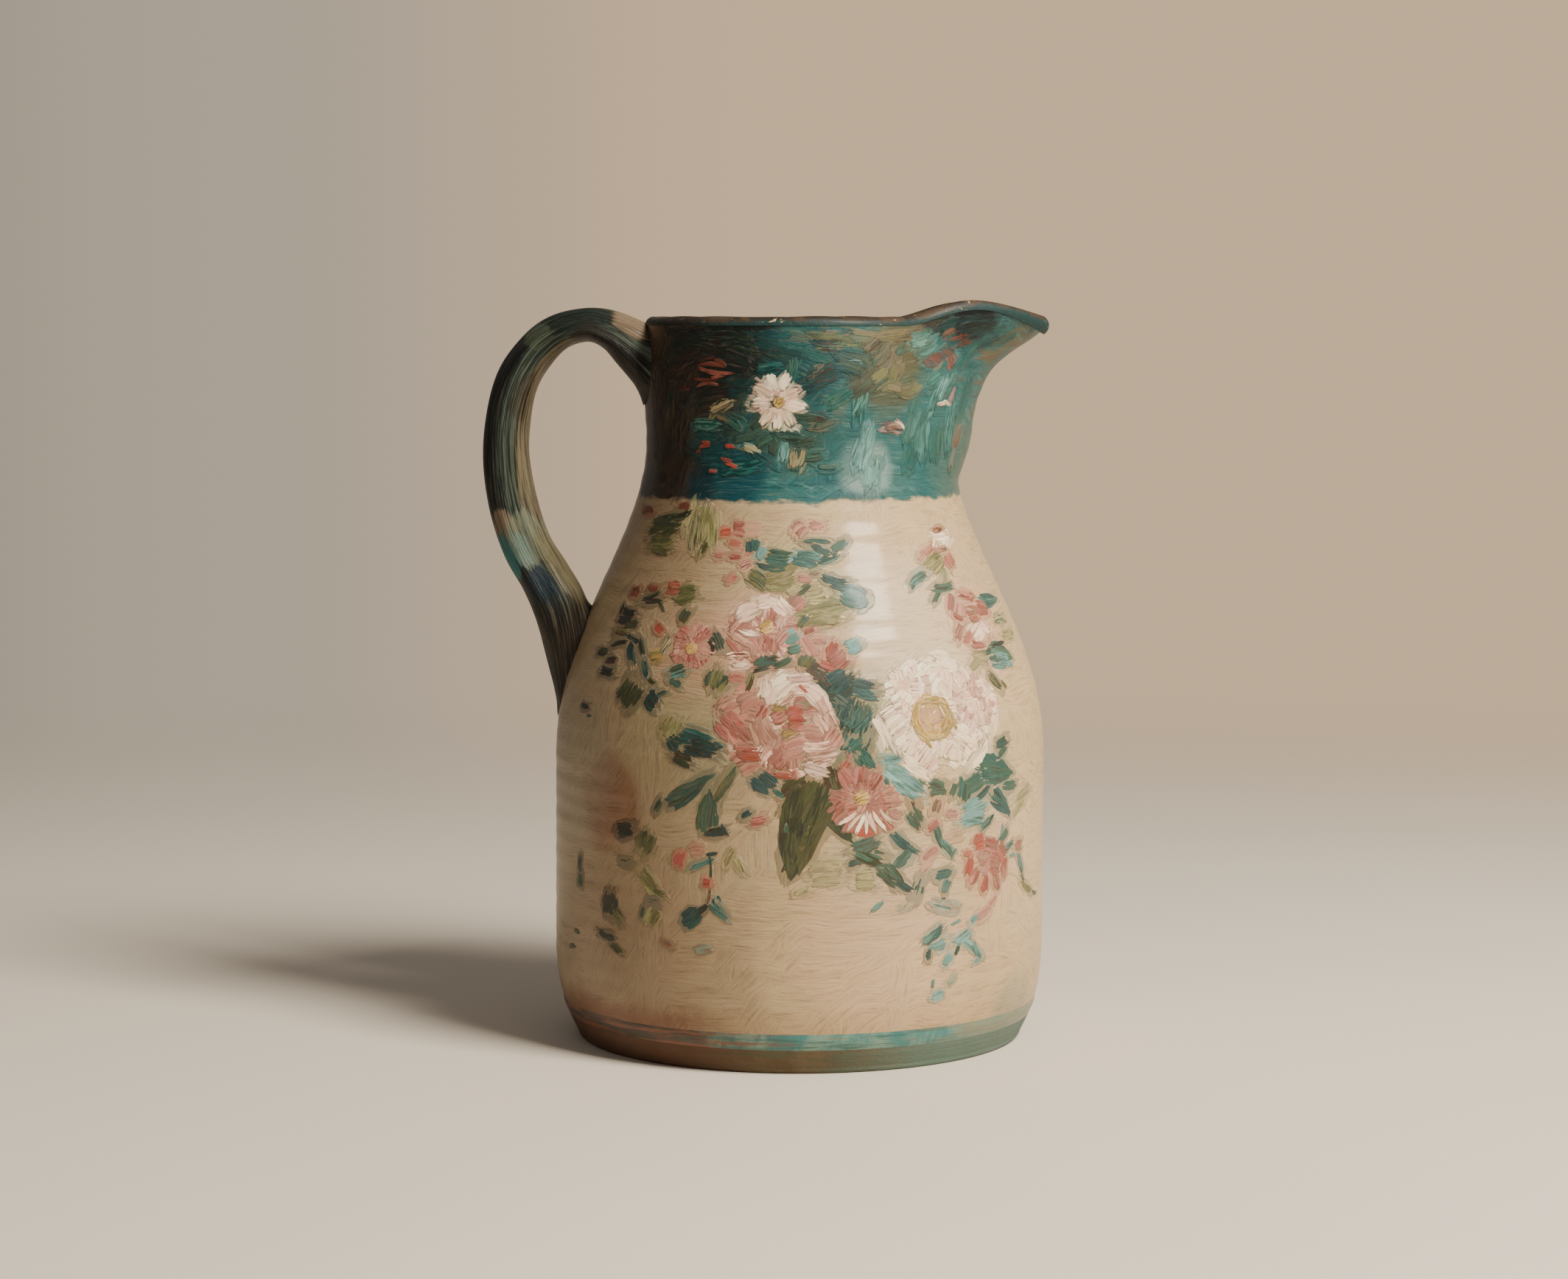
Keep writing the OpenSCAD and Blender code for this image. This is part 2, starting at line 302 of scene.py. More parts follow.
class Shader:
    """One node material. Its methods add a node, link what they are given and return the node's output."""

    def __init__(self, name, roughness, coat=0.0, coat_roughness=0.2, specular=0.5):
        self.material = bpy.data.materials.new(name)
        self.material.use_nodes = True
        self.nodes, self.links = self.material.node_tree.nodes, self.material.node_tree.links
        self.surface = self.nodes["Principled BSDF"]
        self.surface.inputs["Roughness"].default_value = roughness
        self.surface.inputs["Specular IOR Level"].default_value = specular
        self.surface.inputs["Coat Weight"].default_value = coat
        self.surface.inputs["Coat Roughness"].default_value = coat_roughness
        self.object_place = self.nodes.new("ShaderNodeTexCoord").outputs["Object"]

    def add(self, kind, inputs, output=0, **settings):
        node = self.nodes.new(kind)
        for key, value in settings.items():
            setattr(node, key, value)
        for key, value in inputs.items():
            if isinstance(value, bpy.types.NodeSocket):
                self.links.new(value, node.inputs[key])
            else:
                node.inputs[key].default_value = value
        return node.outputs[output]

    def attribute(self, name, output="Vector"):
        return self.add("ShaderNodeAttribute", {}, output, attribute_name=name)

    def plus(self, a, b):
        return self.add("ShaderNodeMath", {0: a, 1: b}, operation="ADD")

    def less(self, a, b):
        return self.add("ShaderNodeMath", {0: a, 1: b}, operation="SUBTRACT")

    def times(self, a, b):
        return self.add("ShaderNodeMath", {0: a, 1: b}, operation="MULTIPLY")

    def centred(self, value):
        """A noise made to swing both ways round nothing."""
        return self.less(value, 0.5)

    def vector(self, operation, a, b=(0, 0, 0), output=0):
        return self.add("ShaderNodeVectorMath", {0: a, 1: b}, output, operation=operation)

    def part(self, vector, axis):
        return self.add("ShaderNodeSeparateXYZ", {0: vector}, "XYZ".index(axis))

    def turned_place(self, place, scale, turn=(0, 0, 0)):
        """The place, turned and then scaled."""
        spun = self.add("ShaderNodeMapping", {"Vector": place, "Rotation": turn}, vector_type="POINT")
        return self.vector("MULTIPLY", spun, scale)

    def noise(self, place, scale, detail=3.0, roughness=0.5, distortion=0.0, output="Fac"):
        return self.add("ShaderNodeTexNoise", {"Vector": place, "Scale": scale, "Detail": detail,
                                               "Roughness": roughness, "Distortion": distortion}, output)

    def fade(self, value, low, high, to_low=0.0, to_high=1.0):
        """A smooth step of the value between low and high."""
        return self.add("ShaderNodeMapRange", {"Value": value, "From Min": low, "From Max": high,
                                               "To Min": to_low, "To Max": to_high},
                        interpolation_type="SMOOTHSTEP")

    def mix(self, share, a, b, blend="MIX"):
        node = self.nodes.new("ShaderNodeMix")
        node.data_type, node.blend_type = "RGBA", blend
        factor, first, second = node.inputs[0], node.inputs[6], node.inputs[7]
        for socket, value in ((factor, share), (first, a), (second, b)):
            if isinstance(value, bpy.types.NodeSocket):
                self.links.new(value, socket)
            else:
                socket.default_value = value
        return node.outputs[2]

    def tint(self, base, tone, value, low, high, strength=1.0):
        """The base, turned to the tone as the value goes from low to high."""
        return self.mix(self.fade(value, low, high, 0.0, strength), base, colour(*tone))

    def between(self, first, second, value, low, high):
        """The first tone where the value is low and the second where it is high."""
        return self.tint(colour(*first), second, value, low, high)

    def shade(self, base, blend, tone, value, low, high, strength):
        """The base, multiplied or screened with the tone as the value goes from low to high."""
        share = self.fade(value, low, high, 0.0, strength)
        return self.mix(share, base, self.mix(1.0, base, colour(*tone), blend))

    def near(self, centre, radius, wobble):
        """1 close to a place in metres and 0 beyond the radius, with an uneven edge."""
        away = self.vector("DISTANCE", self.object_place, centre, "Value")
        return self.fade(self.plus(away, self.times(wobble, radius)), radius * 1.35, radius * 0.75)

    def bump(self, height, distance):
        return self.add("ShaderNodeBump", {"Height": height, "Distance": distance, "Strength": 1.0})

    def paint(self, base, normal=None, roughness=None):
        self.links.new(base, self.surface.inputs["Base Color"])
        if normal is not None:
            self.links.new(normal, self.surface.inputs["Normal"])
        if roughness is not None:
            self.links.new(roughness, self.surface.inputs["Roughness"])
        return self.material


# ---- Materials ----
# Heights and reaches are in metres here, because the object coordinates of the shader are.

GLAZE_LINE = (0.1652, 0.1668)
LINING_LINE = (0.180, 0.200)


def azimuth_place(azimuth, z):
    """The place in metres on the outside at an azimuth and height."""
    return tuple(skin(azimuth, z) * MM)


def brushwork(s, at):
    """Streaks of a wide brush that changes direction from patch to patch, as a value round a half."""
    bend = s.noise(at, 38, 2, 0.5, output="Color")
    bent = s.vector("ADD", at, s.vector("MULTIPLY", bend, (0.006, 0.006, 0.006)))
    level = s.noise(s.turned_place(bent, (110, 110, 1900)), 1, 4, 0.68)
    rising = s.noise(s.turned_place(bent, (130, 130, 1700), (0.75, 0.55, 0)), 1, 4, 0.68)
    steep = s.noise(s.turned_place(bent, (1300, 1300, 100)), 1, 4, 0.68)
    where = s.noise(at, 55, 1, 0.4)
    first = s.mix(s.fade(where, 0.46, 0.54), level, rising)
    return s.mix(s.fade(where, 0.58, 0.66), first, steep)


def washed(s, base, washes, wobble):
    """The base under soft, uneven washes of colour."""
    for azimuth, z, radius, strength, tone in washes:
        stain = s.near(azimuth_place(azimuth, z), radius * MM, wobble)
        base = s.mix(s.times(stain, strength), base, colour(*tone))
    return base


def cream_tone(s, at, broad, patch, small, wobble):
    """Cream glaze clouded with taupe and pink, with painted shade and brown stain towards the handle's side
    and the heel.
    """
    cream = s.between((208, 180, 136), (197, 168, 126), broad, 0.35, 0.65)
    cream = s.tint(cream, (190, 168, 136), patch, 0.48, 0.74, 0.5)
    cream = s.tint(cream, (210, 168, 134), small, 0.52, 0.76, 0.40)
    # Painted shade: the cream greys and darkens towards the handle's side, away from the window.
    uneven = s.plus(s.times(wobble, 0.030), s.times(s.centred(small), 0.012))
    across = s.plus(s.part(at, "X"), uneven)
    cream = s.tint(cream, (120, 106, 86), across, 0.036, -0.050, 0.68)
    cream = washed(s, cream, CREAM_WASHES, wobble)
    # Brown at the heel, most on the handle's side: partly stain, partly painted shade.
    heel = s.fade(s.plus(s.part(at, "Z"), s.times(wobble, 0.016)), 0.0215, 0.0125)
    handle_side = s.fade(across, -0.016, -0.046, 0.10, 0.80)
    return s.mix(s.times(heel, handle_side), cream, colour(112, 66, 42))


def teal_tone(s, at, broad, patch, small, wobble):
    """Teal glaze brushed over olive, nearly black on the handle's side from dark glaze and painted shade."""
    teal = s.between((40, 94, 94), (48, 95, 90), broad, 0.38, 0.62)
    teal = s.tint(teal, (26, 78, 82), patch, 0.46, 0.64, 0.75)
    teal = s.tint(teal, (82, 118, 108), small, 0.54, 0.72, 0.45)
    height = s.part(at, "Z")
    olive = s.fade(s.noise(at, 75, 4, 0.65, 1.2), 0.50, 0.66)
    teal = s.mix(s.times(olive, s.fade(height, 0.178, 0.208, 0.10, 0.85)), teal, colour(98, 92, 62))
    drag = s.noise(s.turned_place(at, (75, 75, 480)), 1, 4, 0.65, 0.4)
    cross = s.noise(s.turned_place(at, (95, 95, 520), (0.5, -0.4, 0)), 1, 3, 0.6, 0.4)
    teal = s.tint(teal, (14, 62, 68), drag, 0.56, 0.64, 0.65)
    teal = s.tint(teal, (90, 136, 126), cross, 0.58, 0.68, 0.42)
    upper = s.fade(height, 0.184, 0.206, 0.15, 0.75)
    teal = s.mix(s.times(s.fade(drag, 0.46, 0.38), upper), teal, colour(92, 76, 54))
    teal = washed(s, teal, TEAL_WASHES, wobble)
    # Nearly black on the handle's side, reaching further round higher up: partly dark glaze, partly painted
    # shade.
    dark = s.between((34, 26, 19), (66, 50, 36), patch, 0.40, 0.62)
    dark = s.tint(dark, (40, 50, 42), small, 0.54, 0.70, 0.6)
    across = s.plus(s.part(at, "X"), s.times(wobble, 0.034))
    lean = s.plus(across, s.times(s.less(0.190, height), 0.10))
    return s.mix(s.fade(lean, -0.0255, -0.0350), teal, dark)


def pot_tone(s):
    """Cream below and teal above, meeting in one brushed edge across the wall's joints."""
    at = s.object_place
    broad = s.noise(at, 16, 3, 0.55)
    patch = s.noise(at, 55, 4, 0.62, 0.5)
    small = s.noise(at, 150, 4, 0.62, 0.8)
    wobble = s.centred(s.noise(at, 45, 5, 0.68))
    cream = cream_tone(s, at, broad, patch, small, wobble)
    teal = teal_tone(s, at, broad, patch, small, wobble)
    bristle = s.centred(s.noise(s.turned_place(at, (160, 160, 420)), 1, 3, 0.6))
    ragged = s.plus(s.part(at, "Z"), s.times(wobble, 0.006))
    ragged = s.plus(ragged, s.times(bristle, 0.004))
    return s.mix(s.fade(ragged, *GLAZE_LINE), cream, teal), ragged, broad, patch


def pot_glaze():
    """The glaze of the outside and of the lining, with the streaks of the brush that laid it."""
    s = Shader("pot_glaze", 0.45, coat=0.32, coat_roughness=0.14, specular=0.25)
    at = s.object_place
    streaks = brushwork(s, at)
    base, ragged, broad, patch = pot_tone(s)
    cream_lining = s.mix(broad, colour(170, 145, 115), colour(140, 118, 92))
    teal_lining = s.mix(patch, colour(40, 84, 84), colour(66, 70, 54))
    lining_tone = s.mix(s.fade(ragged, *LINING_LINE), cream_lining, teal_lining)
    base = s.mix(s.part(s.attribute("side"), "X"), base, lining_tone)
    base = s.shade(base, "MULTIPLY", (178, 170, 160), streaks, 0.54, 0.28, 0.60)
    base = s.shade(base, "SCREEN", (120, 112, 100), streaks, 0.54, 0.76, 0.40)
    relief = s.plus(streaks, s.times(s.noise(at, 900, 2, 0.5), 0.35))
    return s.paint(base, s.bump(relief, 0.00024), s.fade(streaks, 0.3, 0.7, 0.40, 0.54))


# azimuth, height, radius, strength and tone of each wash of colour in the glaze; the dark washes at negative
# azimuths, on the handle's side, are partly brown stain and partly painted shade
CREAM_WASHES = [
    (-49, 77, 13, 0.70, (122, 76, 50)), (-52, 152, 24, 0.35, (116, 90, 62)),
    (-38, 44, 18, 0.35, (150, 124, 94)), (-64, 84, 20, 0.35, (140, 134, 116)),
    (-32, 100, 16, 0.45, (150, 136, 100)), (32, 128, 22, 0.40, (226, 204, 176)),
    (-30, 26, 24, 0.45, (146, 124, 96)), (-56, 36, 20, 0.35, (120, 98, 74)),
    (-2, 143, 13, 0.50, (168, 158, 116)), (10, 136, 12, 0.45, (176, 164, 122)),
    (-10, 128, 14, 0.50, (206, 160, 134)), (4, 121, 13, 0.45, (186, 148, 122)),
    (12, 104, 15, 0.55, (122, 128, 98)), (6, 86, 14, 0.45, (158, 134, 104)),
    (16, 64, 14, 0.40, (164, 156, 124)), (30, 58, 16, 0.30, (184, 164, 134)),
    (48, 80, 14, 0.40, (160, 162, 134)), (50, 60, 13, 0.40, (208, 160, 130)),
    (56, 128, 14, 0.45, (206, 162, 134)), (-28, 123, 12, 0.35, (178, 134, 106)),
    (-20, 92, 12, 0.30, (136, 134, 108)), (60, 14, 11, 0.45, (140, 146, 122)),
    (20, 40, 26, 0.30, (214, 176, 146)), (66, 60, 26, 0.35, (218, 190, 150))]
# The dark washes at negative azimuths, on the handle's side of the neck, are partly dark glaze and partly
# painted shade.
TEAL_WASHES = [
    (-30, 172, 13, 0.85, (6, 58, 68)), (-42, 171, 9, 0.85, (8, 44, 52)), (-22, 177, 9, 0.80, (10, 66, 74)),
    (50, 183, 18, 0.55, (40, 92, 92)), (62, 192, 14, 0.50, (50, 98, 96)), (33, 205, 12, 0.80, (78, 78, 54)),
    (42, 213, 9, 0.75, (84, 78, 54)), (3, 206, 11, 0.75, (16, 62, 66)), (67, 215, 8, 1.0, (3, 10, 14)),
    # The pale wash at azimuth 24, height 176 is a painted highlight on the neck.
    (55, 218, 6, 0.85, (30, 30, 24)), (72, 174, 14, 0.45, (84, 104, 88)), (24, 176, 8, 0.62, (136, 162, 154)),
    (62, 170, 12, 0.35, (38, 84, 84)), (-14, 211, 10, 0.70, (16, 64, 68)), (14, 182, 9, 0.60, (34, 86, 86)),
    (-4, 186, 10, 0.55, (50, 74, 62)), (-32, 208, 15, 0.95, (18, 18, 14)), (-21, 212, 10, 0.90, (16, 22, 20)),
    (-32, 192, 9, 0.70, (30, 36, 30))]


def handle_glaze():
    """Dark glaze drawn along the strap, with painted light and shade across it: near-black outside,
    grey-green flank, taupe inside, and patches.
    """
    s = Shader("handle_glaze", 0.50, coat=0.10, coat_roughness=0.2, specular=0.25)
    strap = s.attribute("strap")
    length, outward = s.part(strap, "X"), s.part(strap, "Y")
    drawn = s.noise(s.vector("MULTIPLY", strap, (34, 5, 5)), 1, 4, 0.70, 0.3)
    hair = s.noise(s.vector("MULTIPLY", strap, (42, 13, 13)), 1, 4, 0.70)
    patch = s.noise(s.vector("MULTIPLY", strap, (30, 1.4, 1.4)), 1, 3, 0.6, 0.6)
    uneven = s.centred(drawn)
    edge = s.plus(outward, s.times(uneven, 1.2))
    # Painted light and shade across the strap: grey-green on the flank, taupe on the lit inside, near-black
    # on the outside.
    flank = s.between((42, 50, 40), (26, 36, 32), patch, 0.42, 0.58)
    flank = s.tint(flank, (76, 86, 76), hair, 0.48, 0.56, 0.8)
    inner = s.between((60, 54, 40), (106, 96, 74), hair, 0.44, 0.56)
    tone = s.mix(s.fade(edge, -0.30, -0.62), flank, inner)
    night = s.between((8, 9, 8), (34, 38, 30), hair, 0.50, 0.60)
    tone = s.mix(s.fade(edge, 0.16, 0.36), tone, night)
    for middle, half, side, half_side, cover, patch_tone in STRAP_PATCHES:
        along = s.times(s.less(length, middle * MM), 1 / (half * MM))
        beside = s.times(s.less(outward, side), 1 / half_side)
        away = s.plus(s.times(along, along), s.times(beside, beside))
        ragged = s.plus(away, s.times(uneven, 2.4))
        tone = s.mix(s.times(s.fade(ragged, 1.15, 0.75), cover), tone, colour(*patch_tone))
    tail = s.fade(s.plus(length, s.times(uneven, 0.03)), 0.124, 0.134)
    tone = s.mix(s.times(tail, 0.92), tone, s.between((20, 16, 11), (58, 44, 30), hair, 0.46, 0.60))
    tone = s.shade(tone, "MULTIPLY", (110, 108, 104), hair, 0.50, 0.36, 0.85)
    tone = s.tint(tone, (124, 126, 106), hair, 0.60, 0.70, 0.40)
    relief = s.plus(s.times(drawn, 0.6), hair)
    return s.paint(tone, s.bump(relief, 0.0005), s.fade(drawn, 0.3, 0.7, 0.42, 0.60))


# middle and half-length in mm along the strap, middle and half-width from inside (-1) to outside (1),
# strength and tone
STRAP_PATCHES = [
    (15, 7, 0.85, 0.70, 0.70, (132, 112, 86)), (12, 14, -0.90, 0.80, 0.90, (16, 14, 11)),
    (30, 9, 0.60, 1.00, 0.92, (9, 25, 17)), (25, 9, -0.50, 0.60, 0.75, (26, 18, 12)),
    (42, 4, 0.40, 0.70, 0.45, (74, 84, 66)), (60, 9, -0.50, 0.50, 0.45, (58, 46, 34)),
    # The pale grey-green and teal patches 106 to 109 mm along are painted highlights.
    (101, 6, 0.45, 0.50, 0.75, (128, 110, 88)), (106, 9, -0.20, 0.80, 0.60, (116, 122, 102)),
    (109, 7, 0.85, 0.45, 0.85, (34, 108, 108)), (108, 6, 0.20, 0.35, 0.60, (102, 126, 118)),
    (121, 6, 0.10, 0.50, 0.88, (4, 30, 42)), (117, 13, -0.80, 0.50, 0.70, (104, 98, 68))]


def rim_glaze():
    """Teal glaze pulled thin over the rim, so that brown clay shows on top, with pale spots of wear and
    painted highlight, and painted shade on the handle's side.
    """
    s = Shader("rim_glaze", 0.62, coat=0.06, specular=0.3)
    at = s.object_place
    patch = s.noise(at, 90, 4, 0.65, 0.6)
    tone = s.between((36, 29, 22), (64, 50, 36), patch, 0.40, 0.60)
    upward = s.part(s.add("ShaderNodeNewGeometry", {}, "Normal"), "Z")
    covered = s.fade(s.plus(upward, s.times(s.centred(patch), 1.6)), 0.75, 0.25)
    tone = s.mix(s.times(covered, 0.9), tone, colour(20, 54, 54))
    # Pale spots along the rim: partly wear, partly painted highlights.
    wear_and_glints = s.noise(s.turned_place(at, (1, 1, 2.5)), 260, 3, 0.6, 0.5)
    tone = s.tint(tone, (190, 158, 120), wear_and_glints, 0.64, 0.72)
    # Painted shade: the rim darkens on the handle's side.
    tone = s.tint(tone, (38, 29, 22), s.part(at, "X"), -0.020, -0.036, 0.9)
    return s.paint(tone, s.bump(s.noise(at, 420, 3, 0.6), 0.0003))


def slip_band():
    """The teal band over the foot, brushed on thinly, turning brown and dark green towards the handle partly
    as painted shade.
    """
    s = Shader("slip_band", 0.42, coat=0.15)
    at = s.object_place
    streaks = s.noise(s.turned_place(at, (55, 55, 800)), 1, 4, 0.65, 0.2)
    patch = s.noise(at, 85, 4, 0.65, 0.5)
    uneven = s.plus(s.times(s.centred(patch), 0.05), s.times(s.centred(streaks), 0.06))
    across = s.plus(s.part(at, "X"), uneven)
    tone = s.between((56, 122, 120), (112, 148, 134), patch, 0.42, 0.60)
    tone = s.tint(tone, (50, 88, 80), streaks, 0.50, 0.62, 0.75)
    tone = s.tint(tone, (124, 92, 64), streaks, 0.42, 0.30, 0.85)
    tone = s.tint(tone, (124, 128, 104), across, 0.036, 0.064)
    # Brown and dark towards the handle: partly thin glaze, partly painted shade.
    brown = s.between((112, 62, 38), (54, 46, 32), streaks, 0.42, 0.58)
    tone = s.mix(s.fade(across, -0.002, -0.032), tone, brown)
    return s.paint(tone, s.bump(s.plus(streaks, patch), 0.00030), s.fade(streaks, 0.3, 0.7, 0.34, 0.55))


def foot_clay():
    """Bare clay, rough and toasted, darkest under the handle partly as painted shade, and greenish towards
    the spout.
    """
    s = Shader("foot_clay", 0.78)
    at = s.object_place
    streaks = s.noise(s.turned_place(at, (40, 40, 700)), 1, 4, 0.65)
    patch = s.noise(at, 70, 4, 0.65, 0.4)
    tone = s.between((100, 84, 60), (86, 70, 48), patch, 0.38, 0.62)
    tone = s.tint(tone, (74, 80, 58), streaks, 0.46, 0.62, 0.75)
    across = s.plus(s.part(at, "X"), s.times(s.centred(patch), 0.05))
    # Darker and redder towards the handle: partly toasted clay, partly painted shade.
    tone = s.tint(tone, (84, 52, 34), across, -0.006, -0.036, 0.85)
    tone = s.tint(tone, (94, 118, 107), across, 0.000, 0.044, 0.85)
    grit = s.noise(at, 1500, 2, 0.6)
    tone = s.tint(tone, (58, 42, 32), grit, 0.62, 0.74, 0.5)
    relief = s.plus(s.times(grit, 0.5), streaks)
    return s.paint(tone, s.bump(relief, 0.0004), s.fade(patch, 0.3, 0.7, 0.70, 0.88))


# ---- The pot ----

WALL_LEVELS = 61
CROWDING = 1.5  # crowds the lining's levels towards the rounded heel
ROLL_WIDTH, ROLL_TURN, ROLL_SWELL = 13, 1.05, 0.22  # the pouring lip rolls over: degrees, radians, share


def build_pot(glaze):
    """The glazed walls and the beads along their top, one piece for each clay piece of the CAD part."""
    profile_out = np.linspace(BAND_TOP, BELLY_TOP, WALL_LEVELS)
    profile_in = FLOOR_TOP + (BELLY_TOP - FLOOR_TOP) * np.linspace(0, 1, WALL_LEVELS) ** CROWDING
    belly = wall("belly_glaze", full_turn(), profile_out, profile_in, capped=False)
    finish_piece(belly, glaze, "cream_glaze", "belly_wall")

    levels = np.linspace(BELLY_TOP, BODY_H, WALL_LEVELS)
    shoulder = wall("shoulder_glaze", full_turn(), levels, levels, capped=False)
    finish_piece(shoulder, glaze, "cream_glaze", "shoulder_wall")

    levels = np.linspace(BODY_H, NECK_TOP, WALL_LEVELS)
    spout_left, spout_right = SPOUT_AZIMUTH - SPOUT_HALF, SPOUT_AZIMUTH + SPOUT_HALF
    round_neck = np.linspace(spout_right, spout_left + 360, 209)
    round_spout = np.linspace(spout_left, spout_right, 121)
    neck = wall("neck_glaze", round_neck, levels, levels, capped=True)
    finish_piece(neck, glaze, "teal_glaze", "neck_collar")
    spout = wall("spout_glaze", round_spout, levels, levels, capped=True)
    finish_piece(spout, glaze, "teal_glaze", "spout_beak")

    rim = rim_glaze()
    finish_piece(bead_piece("rim_edge", round_neck), rim, "rim_clay", "rim_bead")
    finish_piece(bead_piece("spout_edge", round_spout), rim, "rim_clay", "spout_lip_bead")


def build_base(glaze):
    """The floor inside the pot, the slip band over the foot and the foot itself."""
    dip, ripple = 0.35, 0.25
    spiral = [(r, FLOOR_TOP - dip + ripple * math.cos(r * 0.9)) for r in np.linspace(0, FLOOR_R - 1, 70)]
    floor_side = [(FLOOR_R, z) for z in np.linspace(RECESS_H, FLOOR_TOP, 4)]
    under = [(r, RECESS_H) for r in np.linspace(0, FLOOR_R, 30)]
    slab = turned("floor_slab", [[(FLOOR_R, FLOOR_TOP)] + spiral[::-1], under, floor_side])
    finish_piece(slab, glaze, "liner_glaze", "base_floor")

    proud, groove_depth = 0.25, 0.8
    band_levels = np.linspace(FOOT_H, BAND_TOP, 25)
    lens = [(radius_at(z) + proud * math.sin(math.pi * (z - FOOT_H) / (BAND_TOP - FOOT_H)), z)
            for z in band_levels]
    groove = [(radius_at(z) - groove_depth, z) for z in band_levels]
    band = turned("foot_slip_band", [lens, [lens[-1], groove[-1]], groove[::-1], [groove[0], lens[0]]])
    finish_piece(band, slip_band(), "band_slip", "foot_band")

    toe, toe_squash, inner_toe = 1.6, 0.9, 0.9
    outer_foot = [(radius_at(toe) - toe * (1 - math.sin(t)) * toe_squash, toe * (1 - math.cos(t)))
                  for t in np.linspace(0, math.pi / 2, 9)]
    outer_foot += [(radius_at(z), z) for z in np.linspace(toe, FOOT_H, 12)[1:]]
    inner_r = FOOT_R - FOOT_RING_W
    inner_foot = [(inner_r + inner_toe * (1 - math.sin(t)), inner_toe * (1 - math.cos(t)))
                  for t in np.linspace(0, math.pi / 2, 7)]
    inner_foot.append((inner_r, RECESS_H))
    sole = [inner_foot[0], outer_foot[0]]
    seat = [outer_foot[-1], (FLOOR_R, FOOT_H)]
    ledge = [(FLOOR_R, FOOT_H), (FLOOR_R, RECESS_H)]
    foot = turned("foot_clay_ring", [outer_foot, seat, ledge, [(FLOOR_R, RECESS_H), (inner_r, RECESS_H)],
                                     inner_foot[::-1], sole])
    finish_piece(foot, foot_clay(), "bare_clay", "foot_ring")


def bead_piece(name, azimuths):
    """The rounded edge along the top of the neck or the spout."""
    a, share = np.meshgrid(azimuths, np.linspace(0, 1, 15), indexing="ij")
    roll = np.exp(-((a - SPOUT_AZIMUTH) / ROLL_WIDTH) ** 2)
    t = math.pi * share - ROLL_TURN * roll * (1 - share)
    middle = (outline(NECK_TOP) + bore(NECK_TOP)) / 2 + throat(a, NECK_TOP)
    waver = 0.12 * np.sin(np.radians(a) * 7 + 1) + 0.10 * np.sin(np.radians(a) * 12)
    thick = BEAD_R * (1 + ROLL_SWELL * roll)
    rise = (thick + waver * np.sin(t)) * np.sin(t)
    points = place(a, middle + thick * np.cos(t), NECK_TOP + lobe(a, NECK_TOP) + rise)
    along = np.gradient(points, axis=0)
    outward = unit(np.cross(along, np.gradient(points, axis=1)))
    seat = np.stack([points[:, 0], points[:, -1]], 1)
    patches = [(points, outward), (seat, np.array((0, 0, -1.0)))]
    for end, sign in ((0, -1), (-1, 1)):
        patches.append((end_fan(points[end]), sign * unit(along[end, 0])))
    return solid(name, patches)


# ---- The handle ----

HANDLE_KEYS = np.array([  # drop below the rim, distance from the wall, thickness, share of the middle width
    (16.0, -6.5, 21.0, 0.0), (9.6, 1.8, 16.5, 0.0), (4.6, 9.6, 12.4, 0.2), (2.3, 17.2, 10.4, 0.5),
    (4.1, 25.1, 10.8, 0.8), (9.4, 32.1, 12.0, 1.0), (18.0, 37.7, 12.8, 1.0), (29.5, 41.7, 13.5, 1.0),
    (42.0, 42.6, 14.0, 1.0), (57.0, 37.3, 14.8, 1.0), (70.0, 27.7, 15.0, 1.0), (79.8, 17.9, 15.4, 0.9),
    (88.5, 9.5, 16.4, 0.7), (99.0, 3.0, 15.2, 0.7), (110.0, -1.0, 10.4, 0.9), (121.0, -2.9, 5.6, 1.0)])
STRAP_TOP_W, STRAP_MID_W = 26.0, 20.0
STATIONS, RINGS_PER_STATION = 56, 6
UPPER_ROOT_END, LOWER_ROOT_START = 8, 42
FILLET, SUNK = 3.5, 1.5
SWELL, SWELL_STATION, SWELL_SPREAD = 3.0, 46, 5  # the lower root widens here, in mm and stations
TAPER_STATION, TAPER_LENGTH = 47, 9.3  # and then narrows to a tongue
FLAT_FACE, FLAT_SIDE = 0.85, 0.7  # powers below 1 make the oval squarer
GROOVE_DEPTH = 0.6


def strap_at(station):
    """x, z, thickness and share of the middle width along the handle, by Catmull-Rom spans."""
    points = HANDLE_KEYS.copy()
    points[:, 1] = RIM_Z - HANDLE_KEYS[:, 0]
    points[:, 0] = -outline(points[:, 1]) - HANDLE_KEYS[:, 1]
    last = len(points) - 1
    s = np.clip(np.asarray(station, float) / STATIONS * last, 0, last)
    i = np.minimum(s.astype(int), last - 1)
    t = (s - i)[..., None]
    p0, p1 = points[np.maximum(0, i - 1)], points[i]
    p2, p3 = points[i + 1], points[np.minimum(last, i + 2)]
    return 0.5 * (2 * p1 + (p2 - p0) * t + (2 * p0 - 5 * p1 + 4 * p2 - p3) * t ** 2
                  + (3 * p1 - p0 - 3 * p2 + p3) * t ** 3)


